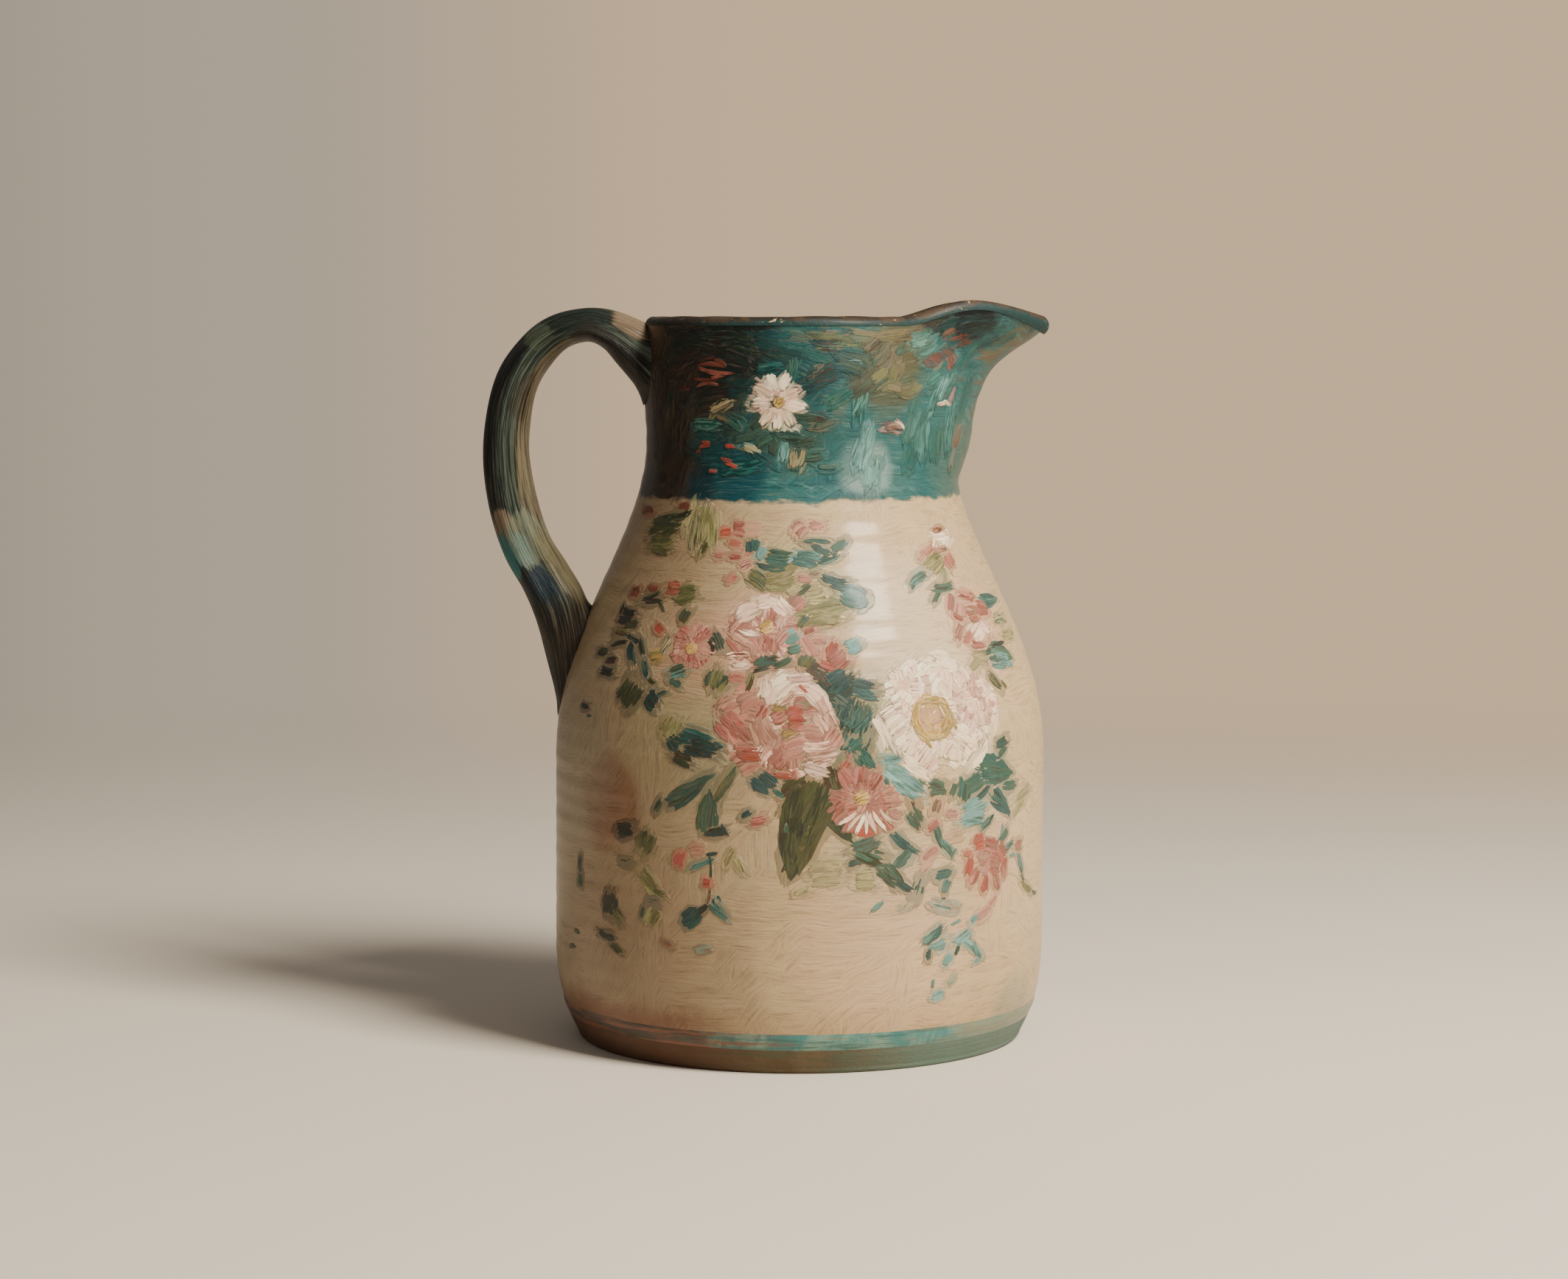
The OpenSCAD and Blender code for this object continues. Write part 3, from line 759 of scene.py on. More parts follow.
def strap_lattice(stations, around):
    """Rings of the strap, a flattened oval with finger grooves, and each point's place along and round it."""
    here = strap_at(stations)
    run = strap_at(stations + 0.25)[:, :2] - strap_at(stations - 0.25)[:, :2]
    out = unit(np.stack([run[:, 1], -run[:, 0]], -1))
    a = np.radians(around)[None, :]
    width = STRAP_TOP_W + (STRAP_MID_W - STRAP_TOP_W) * here[:, 3:4]
    width = width + SWELL * np.exp(-((stations[:, None] - SWELL_STATION) / SWELL_SPREAD) ** 2)
    width = width * np.sqrt(1 - np.clip((stations[:, None] - TAPER_STATION) / TAPER_LENGTH, 0, 1) ** 2)
    across = np.sign(np.cos(a)) * np.abs(np.cos(a)) ** FLAT_FACE
    groove = GROOVE_DEPTH * np.sin(a) ** 2 * (0.5 - 0.5 * np.cos(6 * a))
    pulled = 0.12 * np.sin(stations[:, None] * 0.9 + 3 * a) + 0.08 * np.sin(stations[:, None] * 0.37 - 5 * a)
    n = (here[:, 2:3] / 2 + pulled) * across
    y = (width / 2 - groove + pulled) * np.sign(np.sin(a)) * np.abs(np.sin(a)) ** FLAT_SIDE
    centre = np.stack([here[:, 0], np.zeros(len(here)), here[:, 1]], -1)[:, None, :]
    points = centre + np.stack([out[:, 0:1] * n, y, out[:, 1:2] * n], -1)
    length = np.concatenate([[0], np.cumsum(np.linalg.norm(np.diff(here[:, :2], axis=0), axis=-1))]) * MM
    strap = np.stack(np.broadcast_arrays(length[:, None], np.cos(a), np.sin(a)), -1)
    return onto_wall(points, centre), strap


def onto_wall(points, centre):
    """The strap's points, flared where they come near the glaze and kept from running deep into the wall."""
    azimuth = np.degrees(np.arctan2(points[..., 0], -points[..., 1]))
    z = points[..., 2]
    normal = skin_axes(skin, azimuth, z)[2]
    gap = np.hypot(points[..., 0], points[..., 1]) - np.hypot(*np.moveaxis(skin(azimuth, z)[..., :2], -1, 0))
    gap = gap * np.clip(normal @ np.array((-1.0, 0, 0)), 0.3, 1)
    aside = points - centre
    aside = unit(aside - (aside * normal).sum(-1, keepdims=True) * normal)
    flare = FILLET * (1 - np.clip(gap / FILLET, 0, 1)) ** 2 * np.clip((RIM_Z - 5 - z) / 6, 0, 1)
    flare = flare * np.where(z < NECK_TOP - 50, 0.5, 1.0)
    points = points + aside * flare[..., None]
    return points + normal * np.maximum(0, -SUNK - gap)[..., None]


def build_handle():
    """The pulled handle, in its upper root, its strap and its lower root."""
    glaze = handle_glaze()
    stations = np.linspace(0, STATIONS, STATIONS * RINGS_PER_STATION + 1)
    around = np.linspace(0, 360, 65)
    points, strap = strap_lattice(stations, around)
    tangent = np.gradient(points, axis=0)
    ring = np.concatenate([points[:, -2:-1], points, points[:, 1:2]], 1)
    normals = unit(np.cross(tangent, ring[:, 2:] - ring[:, :-2]))
    middle = points[:, :-1].mean(1, keepdims=True)
    normals *= np.sign(((points - middle) * normals).sum(-1).mean(1))[:, None, None]
    for node, first, last in (("handle_upper_root", 0, UPPER_ROOT_END),
                              ("handle_strap", UPPER_ROOT_END, LOWER_ROOT_START),
                              ("handle_lower_root", LOWER_ROOT_START, STATIONS)):
        rows = slice(first * RINGS_PER_STATION, last * RINGS_PER_STATION + 1)
        patches, straps = [(points[rows], normals[rows])], [strap[rows]]
        for end, sign in ((rows.start, -1), (rows.stop - 1, 1)):
            patches.append((end_fan(points[end]), sign * unit(tangent[end].mean(0))))
            straps.append(end_fan(strap[end]))
        piece = solid(node + "_glaze", patches, [("strap", straps)])
        finish_piece(piece, glaze, "handle_glaze", node)


# ---- Enamel painting ----

PAINTS = {  # the pigment that each paint is mixed from, and its colour
    "night": ("enamel_dark", (14, 28, 24)), "bottle": ("enamel_dark", (24, 44, 28)),
    "moss": ("enamel_dark", (54, 62, 34)), "umber": ("enamel_dark", (54, 38, 26)),
    "soot": ("enamel_dark", (26, 19, 14)), "slate": ("enamel_dark", (54, 74, 60)),
    "lake": ("enamel_teal", (6, 54, 56)), "teal": ("enamel_teal", (16, 74, 70)),
    "fern": ("enamel_teal", (48, 85, 71)), "mist": ("enamel_teal", (78, 126, 117)),
    "sky": ("enamel_teal", (112, 158, 154)),
    "olive": ("enamel_olive", (102, 100, 60)), "reed": ("enamel_olive", (138, 132, 90)),
    "straw": ("enamel_olive", (164, 152, 110)), "taupe": ("enamel_olive", (112, 98, 76)),
    "ochre": ("enamel_ochre", (172, 138, 66)), "honey": ("enamel_ochre", (200, 164, 100)),
    "brick": ("enamel_red", (116, 58, 42)), "coral": ("enamel_red", (147, 80, 68)),
    "red": ("enamel_red", (160, 62, 48)), "rust": ("enamel_red", (92, 44, 30)),
    "rose": ("enamel_pink", (161, 106, 92)), "shell": ("enamel_pink", (182, 134, 114)),
    "blush": ("enamel_pink", (224, 182, 160)),
    "petal": ("enamel_white", (244, 216, 184)), "white": ("enamel_white", (251, 230, 196)),
}

LONG_STOPS = np.array([-1, -0.93, -0.78, -0.5, -0.17, 0.17, 0.5, 0.78, 0.93, 1])
WIDE_STOPS = np.array([-1, -0.88, -0.62, -0.3, 0, 0.3, 0.62, 0.88, 1])
STROKE_SHAPES = {  # half-width along the stroke, as a share of the widest
    "leaf": 0.18 + 0.82 * np.clip(1 - (0.12 + LONG_STOPS * 0.96) ** 2, 0, 1) ** 0.8,
    "dab": 0.16 + 0.84 * np.sqrt(np.clip(1 - np.abs(LONG_STOPS) ** 2.8, 0, 1)),
    "petal": 0.30 + 0.70 * np.sqrt(np.clip(1 - np.abs(LONG_STOPS * 0.9 - 0.16) ** 3.0, 0, 1)),
}
RAGGED = {"leaf": 0.03, "dab": 0.12, "petal": 0.05}  # how uneven a stroke's ends are
DRYNESS = {"leaf": -0.55, "dab": -0.05, "petal": -0.35}  # how much bare glaze its bristles leave
EDGE_DEPTH, UNDER_DEPTH, BODY_RISE, RIDGE_RISE = 0.04, 0.15, 0.04, 0.10
BELOW_RIM = 0.8
WET = 0.94  # how fully a stroke covers the glaze
ENAMEL_ROUGHNESS = 0.48


def heading(turn):
    """Cosine and sine of a turn in degrees."""
    return math.cos(math.radians(turn)), math.sin(math.radians(turn))


def stroke_faces():
    """Faces of one stroke: a top grid and a sunk underside that shares the top's border."""
    rows, cols = len(LONG_STOPS), len(WIDE_STOPS)
    top = np.arange(rows * cols).reshape(rows, cols)
    under = top.copy()
    under[1:-1, 1:-1] = rows * cols + np.arange((rows - 2) * (cols - 2)).reshape(rows - 2, cols - 2)
    faces = []
    for i in range(rows - 1):
        for j in range(cols - 1):
            faces.append((top[i, j], top[i + 1, j], top[i + 1, j + 1], top[i, j + 1]))
            faces.append((under[i, j + 1], under[i + 1, j + 1], under[i + 1, j], under[i, j]))
    return np.array(faces)


def top_and_under(top, under):
    return np.concatenate([top.reshape(-1, 3), under[1:-1, 1:-1].reshape(-1, 3)])


class Enamel:
    """Brush strokes of one pigment in one motif. Each stroke is a thin closed lens that follows the glaze."""

    faces_of_one = stroke_faces()

    def __init__(self):
        self.columns = {label: [] for label in ("points", "normals", "paint", "second", "stroke", "edge")}
        self.faces = []
        self.count = 0

    def add(self, azimuth, z, length, width, turn, tones, shape, lift, strength, chance):
        s, t = np.meshgrid(LONG_STOPS, WIDE_STOPS, indexing="ij")
        half = STROKE_SHAPES[shape][:, None] * (1 + 0.10 * chance.standard_normal((len(LONG_STOPS), 1)))
        ragged = 1 + RAGGED[shape] * chance.standard_normal((2, 1, len(WIDE_STOPS)))
        along, across = s * length / 2 * np.where(s > 0, ragged[0], ragged[1]), t * width / 2 * half
        bend = chance.uniform(-0.10, 0.10) * length
        bent = across + bend * (s ** 2 - 0.4)
        level, upright = heading(turn)
        right, rise = along * level - bent * upright, along * upright + bent * level
        steep = float(skin_axes(skin, azimuth, z)[1][2])
        a, h = azimuth + np.degrees(right / skin_radius(azimuth, z)), z + rise * steep
        h = h - max(0, float(h.max()) - NECK_TOP + BELOW_RIM)
        base, normal = skin(a, h), skin_axes(skin, a, h)[2]
        margin = 1 - np.maximum(np.abs(s), np.abs(t))
        ridges = 0.75 + 0.25 * np.sin(t * 8 + chance.uniform(0, 6))
        body = BODY_RISE + lift + RIDGE_RISE * smooth(np.clip(margin * 3, 0, 1)) * ridges
        height = np.where(margin == 0, -EDGE_DEPTH, body)
        top = base + normal * height[..., None]
        lens = unit(np.cross(np.gradient(top, axis=0), np.gradient(top, axis=1)))
        shown = unit(normal + 0.6 * lens)
        seed, dryness = chance.uniform(0, 100), chance.uniform(0.0, 0.30) + DRYNESS[shape]
        stroke = np.stack([along, across, np.full(s.shape, seed)], -1)
        edge = np.stack([margin, np.full(s.shape, strength), np.full(s.shape, dryness)], -1)
        values = {"points": top_and_under(top, base - normal * UNDER_DEPTH),
                  "normals": top_and_under(shown, -normal),
                  "stroke": top_and_under(stroke, stroke), "edge": top_and_under(edge, edge)}
        size = len(values["points"])
        values["paint"], values["second"] = (np.broadcast_to(tone, (size, 3)) for tone in tones)
        for label, column in self.columns.items():
            column.append(values[label])
        self.faces.append(self.faces_of_one + self.count)
        self.count += size

    def piece(self, name):
        columns = {label: np.concatenate(column) for label, column in self.columns.items()}
        mesh = bpy.data.meshes.new(name)
        mesh.from_pydata((columns["points"] * MM).tolist(), [], np.concatenate(self.faces).tolist())
        mesh.shade_smooth()
        mesh.normals_split_custom_set_from_vertices(columns["normals"].tolist())
        for label in ("paint", "second", "stroke", "edge"):
            data = mesh.attributes.new(label, "FLOAT_VECTOR", "POINT").data
            data.foreach_set("vector", columns[label].ravel())
        return add_piece(name, mesh)


class Painter:
    """Lays strokes and keeps each motif's pigments apart. A mirrored painter works on the pot's far side."""

    def __init__(self, seed, mirrored):
        self.chance = np.random.RandomState(seed)
        self.mirrored = mirrored
        self.enamels = {}
        self.laid = 0
        self.motif = ""

    def start(self, motif):
        self.motif = motif + ("_back" if self.mirrored else "")

    def lay(self, azimuth, z, length, width, turn, paints, shape="dab", layer=1.0, strength=WET):
        """One stroke: its middle, size in mm, turn from level, one or two paints, shape, layer and cover."""
        if self.mirrored:
            azimuth = 180 - azimuth + self.chance.uniform(-1, 1)
            z += self.chance.uniform(-1, 1)
            turn = 180 - turn + self.chance.uniform(-12, 12)
        names = paints.split()
        pigment = PAINTS[names[0]][0]
        tones = []
        for name in (names[0], names[-1]):
            shade = 1 + 0.065 * self.chance.standard_normal()
            tones.append(colour(*(min(255, c * shade + 2 * self.chance.standard_normal())
                                  for c in PAINTS[name][1]))[:3])
        self.laid += 1
        lift = 0.06 * layer + 0.004 * (self.laid % 15)
        enamel = self.enamels.setdefault((self.motif, pigment), Enamel())
        enamel.add(azimuth, z, length, width, turn, tones, shape, lift, strength, self.chance)

    def beside(self, azimuth, z, right, rise):
        """The azimuth and height that lie so many mm to the right and up."""
        return azimuth + math.degrees(right / skin_radius(azimuth, z)), z + rise

    def sweep(self, azimuth, z, length, width, turn, paints, shape="dab", layer=1.0, strength=WET):
        """A patch painted with as many strokes side by side as its width needs, over a thin wash."""
        if width > 1.4:
            self.lay(azimuth, z, length * 1.15 + 2, width * 1.4 + 1.5, turn, paints, shape, 0.3, 0.50)
        strokes = max(1, round(width / 2.3))
        level, upright = heading(turn)
        for k in range(strokes):
            side = (k - (strokes - 1) / 2) * width / strokes
            slip = self.chance.uniform(-0.08, 0.08) * length
            size = 1 - 0.35 * (2 * abs(side) / width) ** 2
            where = self.beside(azimuth, z, slip * level - side * upright, slip * upright + side * level)
            self.lay(*where, length * size, width / strokes * (1.75 if strokes > 1 else 1.15),
                     turn + self.chance.uniform(-8, 8), paints, shape, layer, strength)

    def leaf(self, azimuth, z, length, width, turn, paints, layer=1.0):
        """A leaf of four strokes in its two paints, blunt at its start, over a thin wash."""
        names = paints.split()
        self.lay(azimuth, z, length * 1.1 + 1, width * 1.3 + 1, turn, paints, "leaf", 0.3, 0.45)
        level, upright = heading(turn)
        for side, paint in ((-0.30, names[-1]), (0.30, names[0]), (-0.10, names[0]), (0.10, names[-1])):
            where = self.beside(azimuth, z, -side * width * upright, side * width * level)
            long, wide = (0.84, 0.62) if abs(side) > 0.2 else (1.0, 0.56)
            both = f"{paint} {names[0]}"
            self.lay(*where, length * long, width * wide, turn - side * 30, both, "leaf", layer)

    def rosette(self, azimuth, z, radius, paints, stretch=1.0, petals=5, turn=0, layer=1.0, rings=(13, 10, 6),
                loose=5):
        """An open flower of rings of radial strokes, each swelling into petals. Loose is in degrees."""
        for ring, count in enumerate(rings):
            reach, length = (0.74, 0.52, 0.28)[ring] * radius, (0.56, 0.52, 0.46)[ring] * radius
            for k in range(count):
                angle = 2 * math.pi * (k + 0.5 * ring) / count + self.chance.uniform(-0.12, 0.12)
                swell = 1 + 0.13 * math.cos(petals * angle - math.radians(turn))
                swell = swell + self.chance.uniform(-0.04, 0.04)
                right, rise = reach * swell * stretch * math.cos(angle), reach * swell * math.sin(angle)
                where = self.beside(azimuth, z, right, rise)
                width = 2 * math.pi * reach * stretch / count * 2.1
                turned_by = math.degrees(math.atan2(rise, right)) + self.chance.uniform(-loose, loose)
                paint = paints[(k + ring) % len(paints)]
                self.lay(*where, length, width, turned_by, paint, "petal", layer + 0.5 * ring)

    def heart(self, azimuth, z, radius, paints, layer=3.0):
        """The dabs in the middle of a flower."""
        self.lay(azimuth, z, radius * 1.8, radius * 1.5, 20, paints, "dab", layer)
        for k in range(5):
            angle = math.radians(72 * k + 20)
            where = self.beside(azimuth, z, 0.55 * radius * math.cos(angle), 0.55 * radius * math.sin(angle))
            self.lay(*where, radius, radius * 0.6, 72 * k + 110, paints, "dab", layer + 0.3)

    def ring(self, azimuth, z, radius, width, paints, stretch=1.0, count=10, layer=3.0):
        """Strokes laid end to end round a ring, such as the stamens round a flower's heart."""
        for k in range(count):
            angle = 2 * math.pi * k / count + self.chance.uniform(-0.1, 0.1)
            reach = radius * self.chance.uniform(0.8, 1.14)
            where = self.beside(azimuth, z, reach * stretch * math.cos(angle), reach * math.sin(angle))
            self.lay(*where, 2 * math.pi * radius / count * 1.9, width * self.chance.uniform(0.7, 1.2),
                     math.degrees(angle) + 90 + self.chance.uniform(-20, 20), paints, "dab", layer)

    def strokes(self, rows, layer=1.0, strength=WET):
        """Dabs, or leaves where a row says so."""
        for azimuth, z, length, width, turn, paints, *shape in rows:
            if shape:
                self.leaf(azimuth, z, length, width, turn, paints, layer)
            else:
                self.sweep(azimuth, z, length, width, turn, paints, "dab", layer, strength)

    def finish(self, materials):
        for (motif, pigment), enamel in sorted(self.enamels.items()):
            piece = enamel.piece(f"{motif}_{pigment.removeprefix('enamel_')}")
            finish_piece(piece, materials[pigment], pigment)


def enamel_paint(name):
    """Enamel with the bristle marks of each stroke, thin at its edges, where the glaze shows through."""
    s = Shader(name, ENAMEL_ROUGHNESS, coat=0.16, coat_roughness=0.15, specular=0.28)
    stroke, edge = s.attribute("stroke"), s.attribute("edge")
    paint, second = s.attribute("paint", "Color"), s.attribute("second", "Color")
    bristles = s.noise(s.vector("MULTIPLY", stroke, (0.14, 1.45, 1.0)), 1, 4, 0.68, 0.25)
    pooled = s.noise(s.vector("MULTIPLY", stroke, (0.16, 0.7, 1.7)), 1, 2, 0.5)
    tone = s.mix(s.fade(s.plus(bristles, s.times(pooled, 0.7)), 0.80, 0.92), paint, second)
    tone = s.shade(tone, "MULTIPLY", (160, 155, 150), bristles, 0.50, 0.34, 0.8)
    tone = s.shade(tone, "SCREEN", (84, 78, 68), bristles, 0.54, 0.68, 0.45)
    loaded = s.less(s.times(s.part(edge, "X"), 2.2), s.part(edge, "Z"))
    loaded = s.plus(loaded, s.times(s.centred(bristles), 2.6))
    cover = s.times(s.fade(loaded, -0.10, 0.50), s.part(edge, "Y"))
    base = s.mix(cover, pot_tone(s)[0], tone)
    relief = s.times(cover, s.plus(s.times(bristles, 0.8), 0.6))
    matt = s.fade(bristles, 0.3, 0.7, ENAMEL_ROUGHNESS - 0.06, ENAMEL_ROUGHNESS + 0.10)
    return s.paint(base, s.bump(relief, 0.00035), matt)


# ---- The painted flowers ----
# Each row is azimuth, height, length, width, turn and paints, then "leaf" for a whole leaf.

SHOULDER_LEAVES = [
    (-50, 158, 16, 7, 14, "moss bottle"), (-50, 153, 12, 6, 0, "olive moss"),
    (-44.5, 161, 10, 3, 20, "bottle moss"), (-33, 158, 15, 8, 100, "olive reed"),
    (-38.5, 161, 10, 5, 80, "reed straw"), (-30.5, 154, 9, 3, 75, "moss olive"),
    (-43, 164, 6, 2.4, 0, "brick rust"), (-65, 162, 9, 2.4, 0, "rust brick"),
    (-24.5, 157, 4, 2.6, 0, "red coral"), (-20, 158, 4.5, 4, 0, "coral rose"),
    (-16, 158, 4.5, 3.6, 0, "rose shell"), (-20.8, 154, 4.2, 2.4, -20, "coral"),
    (-25, 150.3, 3.4, 2, 0, "rose"), (-20, 150, 4, 2, 0, "coral rose"), (-16, 148, 4, 3, 30, "rose shell"),
    (-20, 144, 3.6, 2.2, 30, "coral rose"), (0, 158, 5, 4, 40, "rose shell"), (5, 159, 5, 3, 0, "shell rose"),
    (-16, 151.5, 3, 1.6, 80, "rose")]
GARLAND = [
    (-15, 153.5, 5, 3.5, 100, "lake teal"), (-12, 151, 4.5, 3, 60, "sky mist"),
    (-7, 150, 9, 4, -12, "teal fern"), (-9, 147.3, 10, 3, 0, "fern lake"),
    (-2.5, 150, 4.5, 2.6, 20, "mist sky"), (-12, 143.5, 8, 3.6, -35, "slate olive"),
    (-5.5, 144.5, 11, 7, 15, "reed olive"), (-1.5, 141, 6, 3, 30, "straw reed"),
    (2, 149.5, 9, 4.2, -18, "mist teal"), (6, 152.5, 8, 2.6, -25, "lake teal"),
    (8, 150, 9, 3.4, 20, "teal mist"), (12.5, 153.5, 6.5, 2.6, 30, "fern teal"),
    (5, 154.6, 9, 1.6, 0, "teal slate"), (10, 143.5, 9, 3, -12, "lake teal"),
    (12, 141.5, 9, 3, -25, "teal lake"), (14.5, 139, 9, 5.5, -22, "mist teal"),
    (17, 137, 5, 3, 30, "teal mist"), (6, 134.5, 17, 6.5, 8, "reed olive"),
    (0.5, 141, 7, 3, 25, "slate olive"), (4.5, 139, 7, 4, 10, "reed straw"),
    (-1.5, 137, 7, 4, 30, "rose taupe"), (1.5, 144, 5, 2.6, 0, "rose shell"), (4, 145.5, 4, 2, 0, "taupe"),
    (-3, 133.5, 5, 2.5, 50, "shell blush")]
LEFT_TRAIL = [
    (-53.5, 138.5, 5, 3.4, 0, "rust brick"), (-46, 140, 5, 2.2, 0, "brick rust"),
    (-38, 140.5, 6.5, 3.6, 0, "brick coral"), (-33, 139, 8, 4.5, 10, "olive moss"),
    (-46.5, 137.5, 9, 2, 25, "night moss"), (-45, 136.3, 8, 1.8, 8, "bottle soot"),
    (-41, 135.3, 6, 1.1, -32, "soot moss"), (-53.5, 131.5, 9, 4, 0, "night soot"),
    (-57, 133.5, 4.5, 1.6, 85, "night"), (-51, 129, 8, 2.6, 12, "moss umber"),
    (-54, 127, 7, 2.6, 0, "olive umber"), (-32, 133, 5, 3.4, 60, "slate moss"),
    (-39.5, 129, 4.2, 2.6, -30, "red brick"), (-53, 123.5, 9, 2, 8, "soot bottle"),
    (-48, 125.3, 9, 2, -10, "night lake"), (-44, 123.5, 8, 2.2, -48, "night moss"),
    (-47, 121.5, 8, 3.4, -58, "night lake"), (-45, 119.5, 5, 1.4, -60, "slate"),
    (-59.5, 120.5, 6.5, 3, 0, "night moss"), (-54, 118.5, 6, 2.4, 0, "umber soot"),
    (-54.5, 115.3, 8.5, 3.2, 0, "night lake"), (-40.5, 117, 7, 2.4, -52, "lake slate"),
    (-38, 114, 5, 1.6, -30, "moss"), (-38, 121, 4.6, 3.4, 20, "olive ochre"),
    (-36, 124.5, 7, 2, 75, "slate straw"), (-31, 117, 7, 3.6, 24, "slate mist"),
    (-31, 114, 5, 2.6, -20, "slate fern"), (-22, 126, 7, 4.5, -58, "slate night"),
    (-19.5, 123.5, 7, 2, -10, "fern slate"), (-20, 115.5, 7.5, 6, 70, "slate olive"),
    (-15, 116, 5, 3, 0, "rose coral"), (-44, 110, 10, 8.5, 60, "moss bottle"),
    (-37, 108.5, 6.5, 4.6, -40, "lake night"), (-34.5, 110.5, 5, 1.6, 20, "slate"),
    (-61, 104.4, 6.5, 2, 0, "soot bottle"), (-58, 101.8, 3.4, 1.1, 0, "teal slate"),
    (-30.5, 101, 7, 6, 60, "reed olive"), (-24.5, 98.6, 13, 4.2, -10, "lake teal"),
    (-22.5, 95.4, 13, 4.2, -14, "lake night"), (-27.5, 92.6, 9, 3.6, -22, "bottle umber"),
    (-29.5, 97, 6, 4, -40, "bottle lake"), (-18.5, 96.6, 5, 2, -14, "teal slate"),
    (-25, 83.5, 19, 3.8, 33, "slate teal", "leaf"), (-23.5, 85.7, 12, 2.4, 28, "fern slate"),
    (-33.5, 78, 5, 2, 60, "slate bottle"), (-20.8, 77.5, 14, 5.4, 84, "slate fern", "leaf"),
    (-16.5, 86, 13, 2.8, 62, "olive slate"), (-19, 71.6, 7, 2.8, 10, "lake night"),
    (-16.8, 72, 4, 1.2, -50, "lake"), (-8, 86.5, 8, 5.4, -32, "teal lake"), (-10.4, 86, 5, 1.2, -60, "lake"),
    (-5, 83.5, 5, 1.6, -40, "teal"), (-9.3, 75.3, 5.4, 3, 18, "coral rose"),
    (-12, 77, 4, 1.8, 40, "teal lake")]
LOWER_LEFT = [
    (-27.8, 63, 4.6, 3.2, 70, "coral red"), (-23.5, 66, 3.6, 3, 10, "coral rose"),
    (-20, 65, 4.6, 1.2, 20, "lake teal"), (-22.5, 62, 9, 1.5, 22, "mist teal"),
    (-20.3, 61, 8, 0.9, 86, "teal slate"), (-21, 56.6, 3, 2.6, 0, "red coral"),
    (-20.6, 52.5, 5, 0.9, 86, "brick taupe"), (-43, 70, 8, 4, 18, "bottle night"),
    (-37, 67, 8, 5.5, 65, "olive moss"), (-43, 60.5, 6.5, 3.4, 0, "moss bottle"),
    (-36, 55.5, 10, 3.8, -48, "olive reed"), (-33.5, 52.5, 6, 2, -30, "olive moss"),
    (-24.5, 46.5, 9, 4.6, 38, "lake teal", "leaf"), (-23, 48, 8, 2.2, 30, "night lake"),
    (-18, 48.8, 9, 3.6, -46, "teal mist", "leaf"), (-19.6, 51, 3.5, 1.4, 80, "lake"),
    (-48.5, 47, 8, 5.6, 85, "bottle night"), (-46, 43.8, 6, 3.6, -40, "olive moss"),
    (-50, 37.6, 8.5, 2.4, 0, "night lake"), (-46.5, 34.4, 6, 2.2, -26, "bottle moss"),
    (-35, 49.6, 5, 3, 0, "lake slate"), (-35.3, 45.5, 6, 4, 60, "olive reed"), (-38, 46, 4, 1.5, 70, "slate"),
    (-61, 57, 6, 2.6, 85, "slate bottle"), (-61, 52.5, 4.6, 3.4, 90, "bottle slate"),
    (-63, 36.3, 3.6, 1.4, 0, "slate"), (-66, 31.2, 5, 1.4, 0, "slate"),
    (-31, 38, 3.4, 1.6, -20, "taupe brick"), (-22, 37, 3.4, 1.6, 10, "slate mist"),
    (-13.5, 62, 6, 1.8, -52, "olive straw"), (-16, 64, 6, 1.6, 66, "straw olive")]
ROSE_MASS = [
    (-17, 108.5, 7, 4, 35, "shell rose"), (-12, 109.5, 8, 4, 30, "shell rose"),
    (-15.5, 103.5, 11, 4.6, -38, "coral rose"), (-13.5, 99.5, 12, 4.6, -42, "rose coral"),
    (-17.3, 100.5, 7, 3, -45, "coral rose"), (-11.8, 94.3, 8, 3.4, -3, "coral red"),
    (-12.3, 96.6, 8, 2.6, 2, "rose coral"), (-8.5, 101, 9, 6, -65, "shell rose"),
    (-9, 106, 6, 3.4, 55, "coral rose"), (-4.8, 93.5, 8, 5, 52, "coral rose"),
    (-1.5, 96.5, 10, 5, 15, "shell rose"), (4, 94.5, 12, 7, 4, "shell blush"),
    (3.5, 90.3, 8, 3.4, -12, "blush petal"), (2.8, 100, 11, 5, -4, "shell rose"),
    (7, 99, 7, 5, 50, "rose shell"), (5.4, 104.8, 8, 5.6, -58, "shell blush"),
    (-2.5, 100.2, 6, 3.4, 20, "ochre taupe")]
ROSE_CROWN = [
    (-7.5, 112, 7, 5, 75, "petal blush"), (-4.5, 113.8, 8, 5.4, 40, "petal white"),
    (-0.5, 114.2, 9, 5.4, 8, "blush petal"), (3, 111.5, 9, 4.4, -45, "petal blush"),
    (5.2, 108.4, 6, 3.6, -62, "blush shell"), (-3.5, 110, 6, 3, 30, "shell petal"),
    (-0.8, 105.6, 6, 4.6, 8, "red coral"), (-5, 105.2, 5, 3.6, 30, "coral rose"),
    (-4.4, 108, 5, 2.6, 0, "ochre taupe"), (0.4, 108.8, 5, 2.2, -20, "rose taupe"),
    (0.8, 112.8, 4.4, 1.3, -45, "red coral"), (-0.8, 102.4, 5, 2.2, -10, "coral rose"),
    (-3.8, 88.8, 5, 2, 0, "coral red")]
